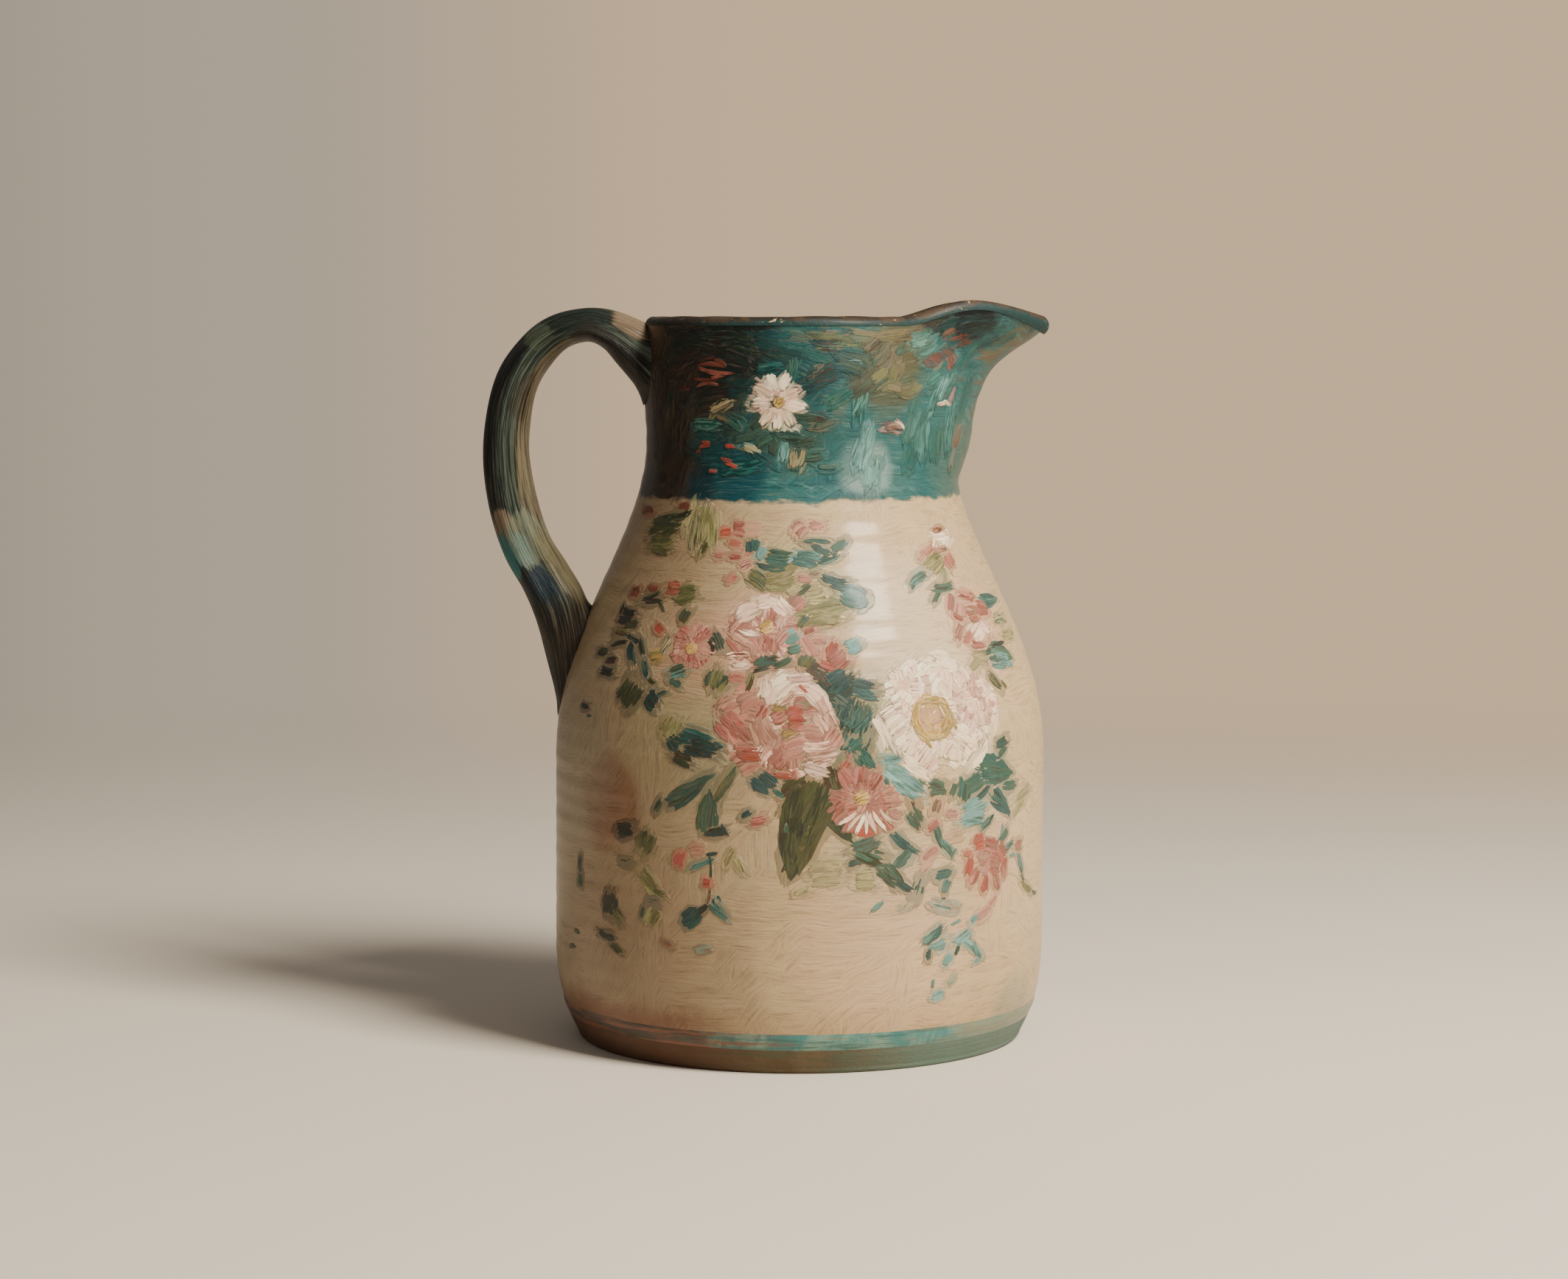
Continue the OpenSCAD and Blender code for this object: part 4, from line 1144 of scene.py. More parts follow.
WILD_ROSE = [
    (-14, 134.6, 10, 4.4, 24, "petal blush"), (-11, 137, 8, 3.6, 10, "blush petal"),
    (-7, 137.2, 7, 3, -10, "petal blush"), (-4.6, 135.6, 8, 4, -48, "blush petal"),
    (-4.8, 132, 6, 3, 75, "blush shell"), (-16.8, 130, 8, 3, 50, "rose shell"),
    (-14, 129, 10, 2.2, -18, "petal rose"), (-14.5, 126.4, 10, 2.2, -34, "blush rose"),
    (-16.4, 124, 8, 2, -52, "rose coral"), (-16, 122.6, 8, 1.6, -2, "coral petal"),
    (-10.5, 125, 8, 5, -66, "rose shell"), (-7.2, 125.6, 6, 4, 80, "coral rose"),
    (-4.6, 127.4, 5, 3, 60, "rose shell"), (-14.5, 119.8, 5, 1.6, 10, "petal blush"),
    (-2.4, 128, 5, 3.6, 30, "sky mist"), (-1.2, 124.4, 4.4, 3, 20, "mist fern"),
    (-8.5, 120.6, 9, 3.4, 8, "bottle fern"), (-9.5, 118.4, 6, 1.6, 20, "night slate"),
    (-4.4, 120.4, 6, 2.6, 20, "fern bottle"), (0.6, 131.8, 5, 2.4, 45, "fern olive"),
    (2.6, 129.6, 3.4, 1.6, 30, "coral"), (-11.8, 115, 7, 1.8, 80, "umber olive")]
CENTRE_LEAVES = [
    (8.6, 113.6, 13, 8, 30, "lake bottle"), (11.4, 105, 13, 10, 70, "lake slate"),
    (12.4, 97, 12, 7, 60, "slate teal"), (1.5, 125, 8, 4.6, -55, "shell rose"),
    (4.6, 126.6, 6, 3, 0, "rose shell"), (7.6, 123.4, 6, 3.4, 60, "coral red"),
    (9.2, 120.8, 8, 4.4, 35, "coral rose"), (6.8, 119.4, 6, 2.6, -20, "red coral"),
    (13, 124.8, 6, 3.6, 25, "sky mist"), (1.6, 120.6, 5, 4, 60, "olive slate"),
    (4.2, 118, 8, 3.6, -34, "umber bottle"), (5.6, 115.2, 7, 3, -50, "bottle umber"),
    (8.6, 114.8, 9, 5.8, 36, "lake teal"), (8, 111, 8, 3.4, 25, "night lake"),
    (14.5, 112.8, 10, 4.4, -6, "teal lake"), (15.6, 110.6, 7, 2.2, -10, "lake teal"),
    (9.5, 107, 10, 6.5, -30, "lake slate"), (13.2, 104.4, 12, 5.6, 46, "teal fern"),
    (15.4, 101, 7, 2.4, 78, "lake teal"), (11, 100, 7, 4, 60, "slate fern"),
    (12.4, 96.6, 10, 4, 34, "fern teal"), (14.2, 92.8, 9, 4, -52, "teal fern"),
    (10.6, 92.4, 7, 3, 88, "rose taupe"), (7.2, 87.4, 9, 4.4, 98, "umber moss"),
    (-1.2, 88, 9, 4.6, 12, "umber moss"), (-1.4, 84.6, 10, 4.6, 38, "moss umber"),
    (2.4, 81, 7, 3.6, 40, "lake night"), (-2.6, 80.6, 7, 2, 52, "night bottle"),
    (9, 73, 12, 3.8, -50, "bottle moss", "leaf"), (5.4, 60, 11, 7, 10, "straw reed"),
    (14.4, 58, 7, 5, 0, "reed straw"), (0.6, 55, 6, 2, 20, "straw")]
DARK_LEAF = [
    (0.6, 72.5, 31, 11.5, -107, "moss bottle", "leaf"), (-1.2, 71.5, 25, 5, -103, "bottle night", "leaf"),
    (0.4, 68, 10, 2, 68, "moss olive"), (-3.2, 72.4, 7, 1.4, 78, "fern slate"),
    (3.8, 77, 8, 1.4, 64, "olive moss")]
ROSE_LEAVES = [
    (20.8, 92.6, 7, 3, 4, "mist sky"), (21.6, 88.6, 10, 4.2, -26, "sky mist"),
    (24.6, 84.8, 12, 4.6, -34, "mist sky"), (18.4, 88.2, 7, 2, -60, "mist teal"),
    (28, 85.6, 3.6, 2, 0, "fern"), (32, 83.4, 8, 4, 0, "slate fern"), (36.4, 82.4, 5, 2.6, 70, "fern slate"),
    (39.6, 82.4, 8, 4.6, 74, "teal fern"), (43, 84, 9, 4.6, 20, "fern teal"),
    (49.5, 86.8, 22, 7.6, -11, "teal fern", "leaf"), (56, 81.6, 9, 3, -4, "fern teal"),
    (46.4, 81, 8, 2.6, 24, "lake teal"), (52.4, 76.6, 13, 4.4, -38, "teal lake", "leaf"),
    (49.4, 79.4, 8, 2.4, -34, "lake teal"), (43, 77, 12, 4, 10, "sky mist"),
    (42.4, 73.6, 12, 3.8, 4, "mist sky"), (46.6, 71.2, 6, 2.6, 34, "teal fern"),
    (48.4, 72.6, 4, 1.2, 40, "lake"), (53, 94.8, 7, 3.4, 12, "teal lake"), (53, 92, 6, 2, 28, "fern teal"),
    (26, 80, 5, 4, -66, "soot umber"), (26.2, 75.6, 7, 4, -52, "slate fern"), (25.6, 73.6, 4, 1, -40, "teal"),
    (62, 78, 12, 3.4, 8, "straw reed"), (60.5, 74.6, 9, 2.6, 20, "reed straw"),
    (32, 78.4, 5, 3, 70, "taupe rose"), (36, 75.4, 5, 2.4, 0, "shell rose")]
RIGHT_BUDS = [
    (51, 154.6, 9, 3.2, 6, "petal white"), (54, 153.6, 6, 2.6, 20, "white blush"),
    (47.4, 153.2, 4, 2, 50, "blush petal"), (51.2, 156.8, 5.6, 1.8, 4, "brick rose"),
    (43.6, 151.4, 9, 2.4, 18, "shell rose"), (48.8, 151, 8, 1.6, 4, "taupe rose"),
    (51.2, 147.8, 5, 4.2, -70, "rose coral"), (45, 147.4, 10, 4.6, 22, "olive reed"),
    (46.4, 143.6, 7, 3.4, 60, "reed straw"), (40.6, 150, 5, 1.6, 30, "rose shell"),
    (36.6, 143.4, 9, 2.8, 26, "fern mist"), (34.4, 141.8, 4, 1.2, 50, "teal"),
    (44.6, 140.4, 10, 3, 10, "slate fern"), (41.4, 138.2, 6, 2, 40, "fern slate"),
    (45.8, 135.6, 6, 3, 68, "coral rose"), (49, 133.4, 6, 3.6, 62, "rose shell"),
    (47, 131.6, 4.4, 2, -30, "coral"), (53.4, 137.4, 9, 2.6, -14, "coral rose"),
    (54, 134.4, 9, 2.6, 0, "rose shell"), (53, 131.6, 7, 3.6, 0, "taupe coral"),
    (58.6, 133.4, 10, 4, -8, "rose coral"), (45.4, 127.4, 7, 3.2, 52, "coral rose"),
    (48.6, 125.8, 6, 3, 20, "rose coral"), (53, 127.2, 8, 4.4, 24, "blush petal"),
    (57, 127.6, 6, 3.4, -40, "petal blush"), (51.8, 123.2, 7, 2.6, -14, "coral rose"),
    (56.6, 124, 4.4, 2, 30, "shell"), (67, 135.2, 16, 3.2, 0, "teal mist", "leaf"),
    (68, 129.4, 10, 2.6, 4, "straw fern"), (69, 124.6, 12, 3.2, 4, "reed straw"),
    (51, 119.6, 9, 4, -4, "reed straw"), (60.4, 119.4, 17, 6.4, -6, "fern mist", "leaf"),
    (61, 118.2, 11, 3.6, -6, "mist sky"), (60.4, 122.8, 10, 1.4, 0, "lake night"),
    (54.4, 121, 6, 2, 18, "fern"), (54.6, 112, 8, 3.4, -44, "slate olive"), (48, 118, 6, 3, 30, "straw reed"),
    (58, 111, 4, 1.4, -50, "olive")]
DAISY_PETALS = [
    (10, 87.8, 7, 4, -52, "rose coral"), (13.4, 88.4, 6, 4, 86, "coral rose"),
    (16.4, 87, 7, 4.4, 52, "coral rose"), (20.6, 81, 7, 4, 0, "shell rose"),
    (19.4, 83.6, 6, 2.6, 24, "rose shell"), (8.4, 81.6, 7, 4, -8, "rose coral"),
    (8.4, 78, 7, 4.4, 40, "coral rose"), (11, 74.4, 8, 3, 56, "coral rose"),
    (18.8, 74.6, 7, 3.4, -42, "coral rose"), (15, 72.4, 9, 3.4, 4, "coral red"),
    (21.4, 76.8, 5, 3, -20, "shell rose"), (10, 91, 5, 3, 60, "coral rose")]
DAISY_RAYS = [
    (10.4, 75.8, 7, 1.2, 34, "blush petal"), (11.9, 74.9, 7, 1.2, 52, "petal blush"),
    (13.3, 74.4, 7, 1.2, 70, "petal white"), (14.7, 74.2, 7, 1.2, 86, "blush petal"),
    (16.0, 74.5, 7, 1.2, 102, "petal blush"), (17.4, 75.2, 7, 1.2, 120, "petal white"),
    (18.8, 76.4, 6, 1.1, 140, "blush petal")]
TRAILING_SPRIG = [
    (14.4, 67.6, 10, 4.6, 28, "slate fern"), (16.4, 64.8, 12, 5, -28, "bottle fern"),
    (12.6, 63.4, 6, 2.6, 30, "slate teal"), (23, 68.4, 9, 2.8, -36, "lake teal"),
    (25.4, 66.4, 6, 2, -24, "teal fern"), (23.4, 63.6, 8, 3.4, 34, "fern mist"),
    (20, 59, 12, 4, -42, "fern bottle"), (23.2, 56, 9, 2.6, -36, "teal lake"),
    (27, 54.6, 9, 3.6, 66, "teal fern"), (25, 50, 7, 1.6, 20, "mist straw"), (17.4, 50, 5, 1.4, 30, "mist"),
    (32.4, 69.6, 8, 2.4, -74, "teal fern"), (34.4, 66, 8, 2.6, -44, "fern mist"),
    (36.6, 64, 4, 1.2, 50, "mist"), (34, 58, 7, 3.4, 12, "teal fern"), (34.4, 54.6, 5, 3, 70, "mist fern"),
    (34, 48.6, 10, 3.2, -14, "teal mist"), (33, 50.4, 5, 1.2, 20, "teal"), (37.4, 43.5, 4, 1, 20, "mist"),
    (31.2, 40.4, 9, 3.2, 30, "teal mist"), (32.6, 37.4, 7, 3.2, 12, "sky mist"),
    (29.8, 34.6, 3.6, 2, 80, "teal lake"), (39.6, 38.8, 8, 3.4, 24, "mist sky"),
    (41, 36.4, 6, 3, -34, "sky mist"), (43.4, 34.4, 7, 2.6, -44, "mist teal"),
    (43, 43.6, 5, 2.2, 30, "mist sky"), (35, 32.6, 5, 2.4, 50, "sky mist"), (37.6, 35, 4, 1.4, 70, "teal"),
    (44, 31.4, 4, 1.6, 20, "mist"), (32.4, 22.2, 4.6, 3, 10, "sky mist"),
    (36, 26.6, 4, 1.6, 40, "mist straw"), (31, 26, 3, 1.2, 80, "mist"), (30, 64.2, 6, 2.4, 30, "shell rose"),
    (36, 68.6, 8, 2.6, 10, "shell taupe"), (31, 72.6, 4.6, 3, 30, "rose coral"),
    (29, 60.4, 5, 1.8, 50, "shell"), (53, 66.6, 8, 2.6, 42, "fern teal"), (55.2, 63.2, 7, 2, 24, "teal mist"),
    (52.6, 68.8, 4, 1.2, 60, "mist"), (57, 60.4, 3, 1.2, 0, "mist"), (60, 63, 5, 3.4, 0, "rose taupe"),
    (61, 57.4, 8, 2.6, -62, "slate mist"), (62.4, 53, 5, 1.4, -50, "slate"),
    (64.6, 49.8, 11, 2.4, -26, "olive reed"), (70.4, 46.8, 6, 1.4, -6, "slate"),
    (45.8, 45, 8, 2.8, 22, "shell rose"), (49, 48.4, 5, 1.8, 50, "shell rose")]
LOW_FLOWER = [
    (44.2, 66, 5, 4, 10, "red coral"), (48.4, 64, 9, 4.6, -12, "coral rose"),
    (52.4, 62, 7, 4, -52, "rose coral"), (53.4, 58, 7, 3.4, 80, "coral rose"),
    (41.4, 60, 6, 3, 84, "red coral"), (42.6, 56.2, 6, 3.4, 46, "coral rose"),
    (46.4, 54, 6, 3.2, 80, "coral red"), (50.2, 54.2, 6, 3.2, -74, "coral rose"),
    (46.6, 59.6, 8, 5, 20, "rose shell"), (49.6, 58.4, 7, 4, -30, "rose coral"),
    (44.6, 62.4, 5, 3, 60, "rose shell"), (40.6, 63.2, 3, 2, 0, "coral")]
# Dark strokes over the neck on the handle's side: partly dark decoration, partly painted shade.
NECK_SHADE = [
    (-44, 213, 18, 5, 6, "night soot"), (-33, 213.5, 18, 5, 4, "soot night"),
    (-24, 214, 14, 5, -6, "night bottle"), (-46, 206, 14, 5, 20, "soot umber"),
    (-24, 207, 12, 6, -20, "night soot"), (-32, 198.5, 16, 5, 4, "night soot"),
    (-46, 199, 12, 6, 60, "soot umber"), (-22, 200, 9, 5, 10, "lake night"),
    (-19.5, 211, 8, 3, -12, "bottle night"), (-16, 214.5, 8, 2.4, 6, "bottle lake"),
    (-34, 194, 14, 4, 10, "umber night"), (-49, 187, 16, 7, 80, "soot umber"),
    (-50, 175, 14, 7, 74, "umber soot"), (-60, 200, 20, 5, 84, "umber soot"),
    (-66, 190, 20, 5, 88, "soot umber"), (-57, 209, 12, 4, 60, "umber bottle"),
    (-60, 179, 12, 5, 80, "soot umber"), (-55, 193, 14, 4, 70, "bottle umber")]
NECK_FLOWER = [
    (-34, 205.8, 12, 1.3, 4, "brick rust"), (-33, 203.9, 13, 1.3, 0, "coral brick"),
    (-34.4, 201.8, 12, 1.3, -2, "brick rust"), (-36, 207.6, 9, 1.2, 6, "rust soot"),
    (-35.4, 200, 9, 1.3, 4, "rust brick"), (-48, 201, 9, 1.3, 0, "rust soot"),
    (-46, 198.6, 7, 1.2, 8, "rust soot"), (-29.4, 206.6, 5, 1.2, -30, "brick rust"),
    (-30, 202.6, 6, 1.1, 12, "brick coral"), (-37, 188, 10, 3, 0, "teal mist"),
    (-35, 184.8, 9, 2.6, -8, "lake teal"), (-30, 193.4, 8, 2.4, 28, "taupe straw"),
    (-28.6, 190.4, 7, 2.4, -20, "slate taupe"), (-24, 188.6, 8, 3, -30, "lake fern"),
    (-20, 185, 9, 3, 10, "fern slate"), (-33.6, 178.4, 12, 3.4, 0, "lake teal"),
    (-20, 176, 14, 3.6, 4, "lake teal"), (-13.6, 178.4, 8, 2.4, -30, "teal lake"),
    (-42, 180, 7, 3, -30, "lake night"), (-18, 181.4, 7, 2.4, -26, "straw mist"),
    (-13, 183.4, 6, 2.4, 40, "slate fern"), (-9.4, 182, 6, 2.6, 70, "fern slate"),
    (-5.6, 180.4, 5, 2.6, 80, "mist sky"), (-4.4, 184.6, 9, 2, -8, "bottle fern"),
    (0.6, 183, 7, 2.2, 8, "slate bottle"), (-1, 178.6, 7, 4, 80, "straw slate"),
    (5, 179, 6.4, 3, 10, "slate fern"), (9.4, 176, 6, 2, 0, "fern"), (4, 190.2, 10, 2.6, 0, "slate umber"),
    (8.4, 188.4, 7, 2, 8, "taupe slate"), (-14.6, 189.6, 7, 3, 40, "fern slate"),
    (-2.6, 205, 7, 3, 70, "fern teal"), (-10.4, 205, 8, 3.4, 0, "lake teal")]
NECK_PETALS = [
    (-13.2, 198.6, 6.4, 3.4, 145, "petal blush"), (-10, 200.6, 6, 3.4, 112, "petal white"),
    (-5.8, 200.6, 6, 3.4, 66, "white petal"), (-3, 197.6, 6, 3.4, 26, "petal blush"),
    (-2.2, 194, 6, 3.2, -8, "white petal"), (-4, 190.4, 6, 3.4, -58, "petal white"),
    (-7.8, 189.2, 6, 3.4, -88, "white petal"), (-12, 190.8, 6, 3.4, -128, "petal blush"),
    (-14.2, 194.8, 7, 3.4, 180, "blush petal")]
NECK_BERRIES = [
    (-37, 182, 5, 1.3, 6, "red coral"), (-36.6, 183, 4, 1.3, 4, "coral red"),
    (-26.4, 182, 3.6, 1.3, 0, "red coral"), (-27, 177.8, 5, 1.3, -14, "coral brick"),
    (-25.4, 176.4, 5, 1.3, -10, "red coral"), (-33, 174.6, 3.6, 1.2, 0, "coral brick"),
    (-40, 180.4, 3, 1.2, 30, "brick")]
NECK_BAND = [
    (-5, 208.6, 14, 5, -12, "lake bottle"), (7, 202.6, 12, 5, 24, "lake umber"),
    (18, 206, 12, 5, -18, "slate lake"), (22, 200, 10, 4.6, 30, "slate umber"),
    # The pale sky and mist strokes at azimuths 22 to 26, heights 174 to 185, are a painted highlight.
    (11, 212.6, 14, 4, -6, "umber lake"), (25, 185, 8, 3.4, 82, "sky mist"),
    (22.6, 179, 9, 4, 72, "mist sky"), (26, 174, 8, 4, 86, "sky mist"), (-10, 214.6, 12, 3.4, 4, "teal lake"),
    (-3.4, 216.4, 9, 2, -4, "taupe fern"), (-2, 212, 10, 3, -14, "teal fern"),
    (4.6, 208.8, 12, 3.4, -22, "lake teal"), (-0.4, 204.4, 9, 3.4, -30, "lake fern"),
    (3.6, 200.4, 5, 2.4, 30, "night lake"), (5.4, 203.6, 8, 2, 34, "taupe umber"),
    (9.6, 204.6, 7, 2, 20, "umber lake"), (12, 213.6, 14, 2, -8, "olive moss"),
    (11, 210.8, 12, 2, 4, "olive fern"), (15, 216.4, 10, 2, 0, "fern taupe"),
    (16, 212, 10, 2, -6, "fern olive"), (20, 210, 9, 1.6, -4, "teal lake"),
    (19.4, 206.6, 8, 2.4, 0, "mist fern"), (25, 217.4, 12, 2, 0, "taupe olive"),
    (36, 217.4, 14, 2, 0, "taupe olive"), (46, 217, 9, 1.8, 0, "taupe umber"),
    (32, 208, 12, 5, 40, "taupe slate"), (30, 202, 9, 4.4, 30, "slate olive"),
    (36, 204.6, 9, 4, 60, "taupe olive"), (38.4, 210, 4, 2, 20, "fern"), (35, 199, 7, 2, -10, "taupe olive"),
    (43, 198.4, 7, 2.6, 10, "taupe olive"), (27, 212, 8, 3, 30, "taupe umber"),
    (36, 187.2, 8, 2, -4, "brick shell"), (38.8, 188.4, 5, 1.4, -30, "shell petal"),
    (50, 183.6, 12, 6, 80, "mist fern"), (45, 188, 12, 5, 70, "mist fern"), (58, 181, 9, 4, 80, "fern teal"),
    (44, 178, 9, 4, 60, "fern teal"), (22, 196, 12, 3.4, 80, "fern mist"), (15, 196.6, 9, 3, 30, "teal fern"),
    (48, 213, 9, 4.4, 0, "mist fern"), (52, 209.6, 9, 3.4, 20, "mist teal"),
    (55, 206, 6, 2.6, -6, "brick rust"), (57, 203.4, 5, 1.4, 30, "taupe"),
    (63, 204, 5.4, 2.4, -62, "brick coral"), (60.6, 206.6, 5, 1.6, -20, "rust brick"),
    (56, 199.6, 8, 4, 20, "mist fern"), (60, 196.4, 8, 4, 60, "mist sky"), (56, 193.4, 7, 3, 60, "fern mist"),
    (64.4, 198, 6, 3, 60, "mist fern"), (61, 195.6, 4.4, 1.9, 0, "red coral"),
    (60.4, 192.4, 6, 1.4, 0, "shell petal"), (66, 193.6, 4, 2, 60, "rose shell"),
    (64.4, 191.6, 4, 1.2, -30, "petal"), (72, 182, 6, 3, 60, "taupe brick"),
    (70, 176.4, 6, 2, 70, "taupe mist"), (66, 214.6, 14, 5, 6, "night lake"),
    (71, 213.8, 10, 4, 14, "night lake"), (60, 215.6, 8, 3, 4, "lake night"),
    (64, 210.4, 9, 2.6, 8, "brick rust"), (61, 212.2, 8, 2.2, 14, "rust brick"),
    (67, 208.6, 6, 1.8, -4, "rust umber"), (70, 206, 12, 3.4, 60, "teal fern"),
    (75, 209, 10, 3, 40, "lake teal"), (66, 186, 14, 3, 84, "teal mist"), (74, 194, 14, 3, 76, "fern teal"),
    (27, 174, 9, 3, 60, "fern teal")]


WHITE_ROSE = (34, 103.6)
WHITE_PETALS = 6


def paint_side(seed, mirrored):
    """The bouquet that winds over the belly, the sprigs round it, and the flowers on the neck."""
    painter = Painter(seed, mirrored)
    painter.start("shoulder_garland")
    painter.strokes(SHOULDER_LEAVES)
    painter.strokes(GARLAND, 1.5)
    painter.strokes(RIGHT_BUDS, 1.5)
    painter.start("left_trail")
    painter.strokes(LEFT_TRAIL)
    painter.rosette(-27.6, 124.4, 6.4, ["rose shell", "shell rose", "coral rose"], 1.15)
    painter.heart(-28, 123.6, 2.2, "honey ochre")
    painter.strokes(LOWER_LEFT)
    painter.start("rose_bouquet")
    painter.strokes(CENTRE_LEAVES)
    painter.strokes(DARK_LEAF, 2)
    rose_paints = ["rose shell", "shell rose", "rose coral", "shell blush"]
    painter.rosette(-4.6, 101.4, 13.5, rose_paints, 1.22, layer=1.5, loose=20)
    painter.strokes(ROSE_MASS, 3)
    painter.strokes(ROSE_CROWN, 4)
    painter.rosette(-10, 129, 9, ["rose shell", "shell rose", "rose coral", "blush rose"], 1.1, layer=1.5)
    painter.strokes(WILD_ROSE, 3)
    painter.heart(-8.6, 130.4, 2.6, "ochre honey")
    painter.start("white_rose")
    painter.strokes(ROSE_LEAVES)
    for k in range(WHITE_PETALS):
        angle = 2 * math.pi * (k + 0.25 * (k % 2)) / WHITE_PETALS
        where = painter.beside(*WHITE_ROSE, 15.6 * math.cos(angle), 11.6 * math.sin(angle))
        paints = ("petal white", "white petal")[k % 2]
        painter.sweep(*where, 14.5, 11.5, math.degrees(angle) + 90, paints, "dab", 1.6)
    white_paints = ["petal white", "white petal", "blush petal"]
    painter.rosette(*WHITE_ROSE, 13.2, white_paints, 1.32, 6, 40, 2.4, (12, 10, 8), 60)
    painter.rosette(45, 108, 8, ["blush petal", "petal blush", "blush shell"], 1.2, 3, 0, 3.5, (9, 7, 4))
    painter.rosette(26, 112, 6, ["blush petal", "white petal"], 1.2, 3, 0, 3.5, (7, 5, 3))
    painter.heart(31.4, 104, 5.0, "honey shell", 4)
    painter.ring(31.4, 103.8, 5.2, 3.4, "ochre honey", 1.12, 15, 4.6)
    painter.ring(32.0, 103.2, 5.6, 1.8, "ochre reed", 1.10, 9, 4.8)
    painter.start("daisy_trail")
    painter.strokes(TRAILING_SPRIG)
    painter.rosette(14.4, 80, 7.6, ["coral rose", "rose coral", "rose shell"], 1.05, layer=1.5)
    painter.strokes(DAISY_PETALS, 2)
    painter.strokes(DAISY_RAYS, 4)
    painter.heart(13.6, 81.8, 2.8, "ochre honey", 4)
    painter.strokes(LOW_FLOWER, 2)
    painter.start("neck_flowers")
    painter.strokes(NECK_BAND, strength=0.72)
    painter.strokes(NECK_SHADE)
    painter.strokes(NECK_FLOWER, 2)
    painter.strokes(NECK_BERRIES, 3)
    painter.rosette(-8.2, 195, 5.6, ["petal blush", "blush petal"], 1.0, layer=2.4, rings=(8, 6, 0))
    painter.strokes(NECK_PETALS, 3)
    painter.heart(-7.4, 195, 2.0, "ochre honey", 4.5)
    return painter


def build_painting():
    pigments = sorted({pigment for pigment, _ in PAINTS.values()})
    materials = {pigment: enamel_paint(pigment) for pigment in pigments}
    for seed, mirrored in ((7, False), (19, True)):
        paint_side(seed, mirrored).finish(materials)


# ---- Camera, light and floor ----

LENS, SENSOR_W = 83.8, 36
CAMERA_PLACE, CAMERA_AIM = (-0.0047, -1.117, 0.220), (-0.0047, 0, 0.1212)
POT_MIDDLE = (0, 0, 0.12)
WINDOW_AZIMUTH, WINDOW_ELEVATION, WINDOW_DISTANCE = 47, 47, 1.3
WINDOW_SIZE, WINDOW_POWER, WINDOW_TONE = (0.42, 0.58), 37, (1.0, 0.92, 0.80)
FLOOR_SIZE = 6
FLOOR_FADE = (1.1, 0.30)  # metres from the pot at which the floor is gone and is full

ROOM_TONE = (0.20, 0.175, 0.145, 1)
ROOM_LIGHTS = [  # axis of the direction, where on it the tone begins and is full, and the tone
    ("X", 0.2, 1.0, (0.42, 0.36, 0.28, 1)),  # the spout's side, half lit
    ("Y", 0.15, 0.85, (0.74, 0.53, 0.33, 1)),  # the warm wall behind the pot
    ("X", 0.00, -0.14, (0.50, 0.42, 0.32, 1)),
    ("X", -0.14, -0.38, (0.17, 0.155, 0.135, 1)),  # the handle's side, dim
    ("Z", 0.12, 0.50, (0.20, 0.19, 0.18, 1))]  # the ceiling, dim


def look_at(thing, target):
    thing.rotation_euler = (Vector(target) - thing.location).to_track_quat("-Z", "Y").to_euler()


def build_camera():
    """The picture's view: level with the shoulder and looking slightly down."""
    camera = bpy.data.objects.new("camera", bpy.data.cameras.new("camera"))
    bpy.context.scene.collection.objects.link(camera)
    camera.data.lens = LENS
    camera.data.sensor_width = SENSOR_W
    camera.location = CAMERA_PLACE
    look_at(camera, CAMERA_AIM)
    bpy.context.scene.camera = camera


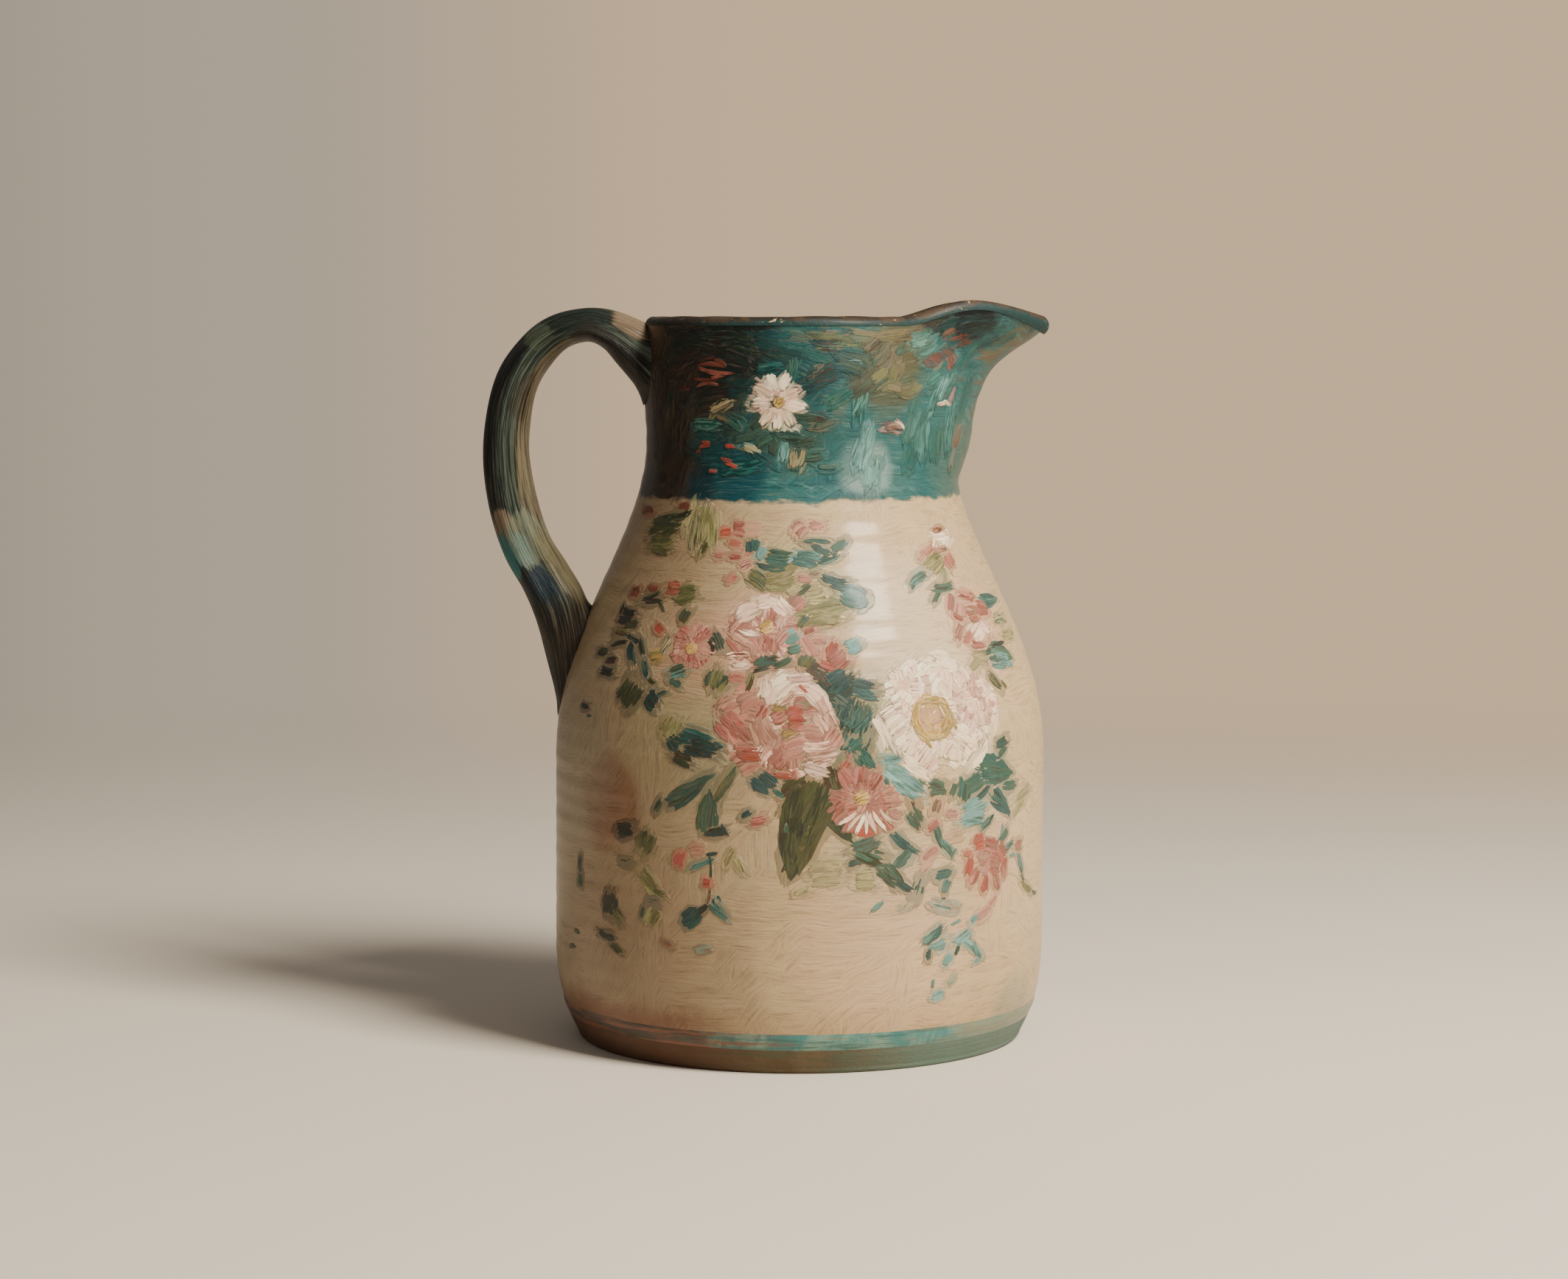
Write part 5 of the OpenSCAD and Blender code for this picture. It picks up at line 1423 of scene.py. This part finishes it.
def build_window():
    """One soft window on the spout's side, high in front, which leaves its mark on neck and shoulder."""
    light = bpy.data.lights.new("window", "AREA")
    light.shape = "RECTANGLE"
    light.size, light.size_y = WINDOW_SIZE
    light.energy = WINDOW_POWER
    light.color = WINDOW_TONE
    lamp = bpy.data.objects.new("window", light)
    bpy.context.scene.collection.objects.link(lamp)
    a, e = math.radians(WINDOW_AZIMUTH), math.radians(WINDOW_ELEVATION)
    direction = Vector((math.sin(a) * math.cos(e), -math.cos(a) * math.cos(e), math.sin(e)))
    lamp.location = direction * WINDOW_DISTANCE + Vector(POT_MIDDLE)
    look_at(lamp, POT_MIDDLE)


def build_world():
    """A dim room with a pale wall behind the pot, so that the window models it from the spout's side."""
    world = bpy.data.worlds.new("studio")
    bpy.context.scene.world = world
    world.use_nodes = True
    nodes, links = world.node_tree.nodes, world.node_tree.links
    direction = nodes.new("ShaderNodeTexCoord").outputs["Generated"]
    parts = nodes.new("ShaderNodeSeparateXYZ")
    links.new(direction, parts.inputs[0])
    before = None
    for axis, low, high, lit in ROOM_LIGHTS:
        share = nodes.new("ShaderNodeMapRange")
        share.interpolation_type = "SMOOTHSTEP"
        share.inputs["From Min"].default_value = low
        share.inputs["From Max"].default_value = high
        links.new(parts.outputs[axis], share.inputs["Value"])
        blend = nodes.new("ShaderNodeMix")
        blend.data_type = "RGBA"
        links.new(share.outputs[0], blend.inputs[0])
        blend.inputs[6].default_value = ROOM_TONE
        blend.inputs[7].default_value = lit
        if before:
            links.new(before, blend.inputs[6])
        before = blend.outputs[2]
    links.new(before, nodes["Background"].inputs["Color"])


def build_floor():
    """A pale floor that fades into the room away from the pot."""
    bpy.ops.mesh.primitive_plane_add(size=FLOOR_SIZE)
    floor = bpy.context.object
    floor.name = "studio_floor"
    s = Shader("studio_floor", 0.8)
    tone = s.mix(s.noise(s.object_place, 2.5, 3, 0.5), colour(226, 216, 200), colour(214, 204, 188))
    away = s.vector("LENGTH", s.object_place, output="Value")
    s.links.new(s.fade(away, *FLOOR_FADE), s.surface.inputs["Alpha"])
    floor.data.materials.append(s.paint(tone))


build_camera()
pot_material = pot_glaze()
build_pot(pot_material)
build_base(pot_material)
build_handle()
build_painting()
build_window()
build_world()
build_floor()
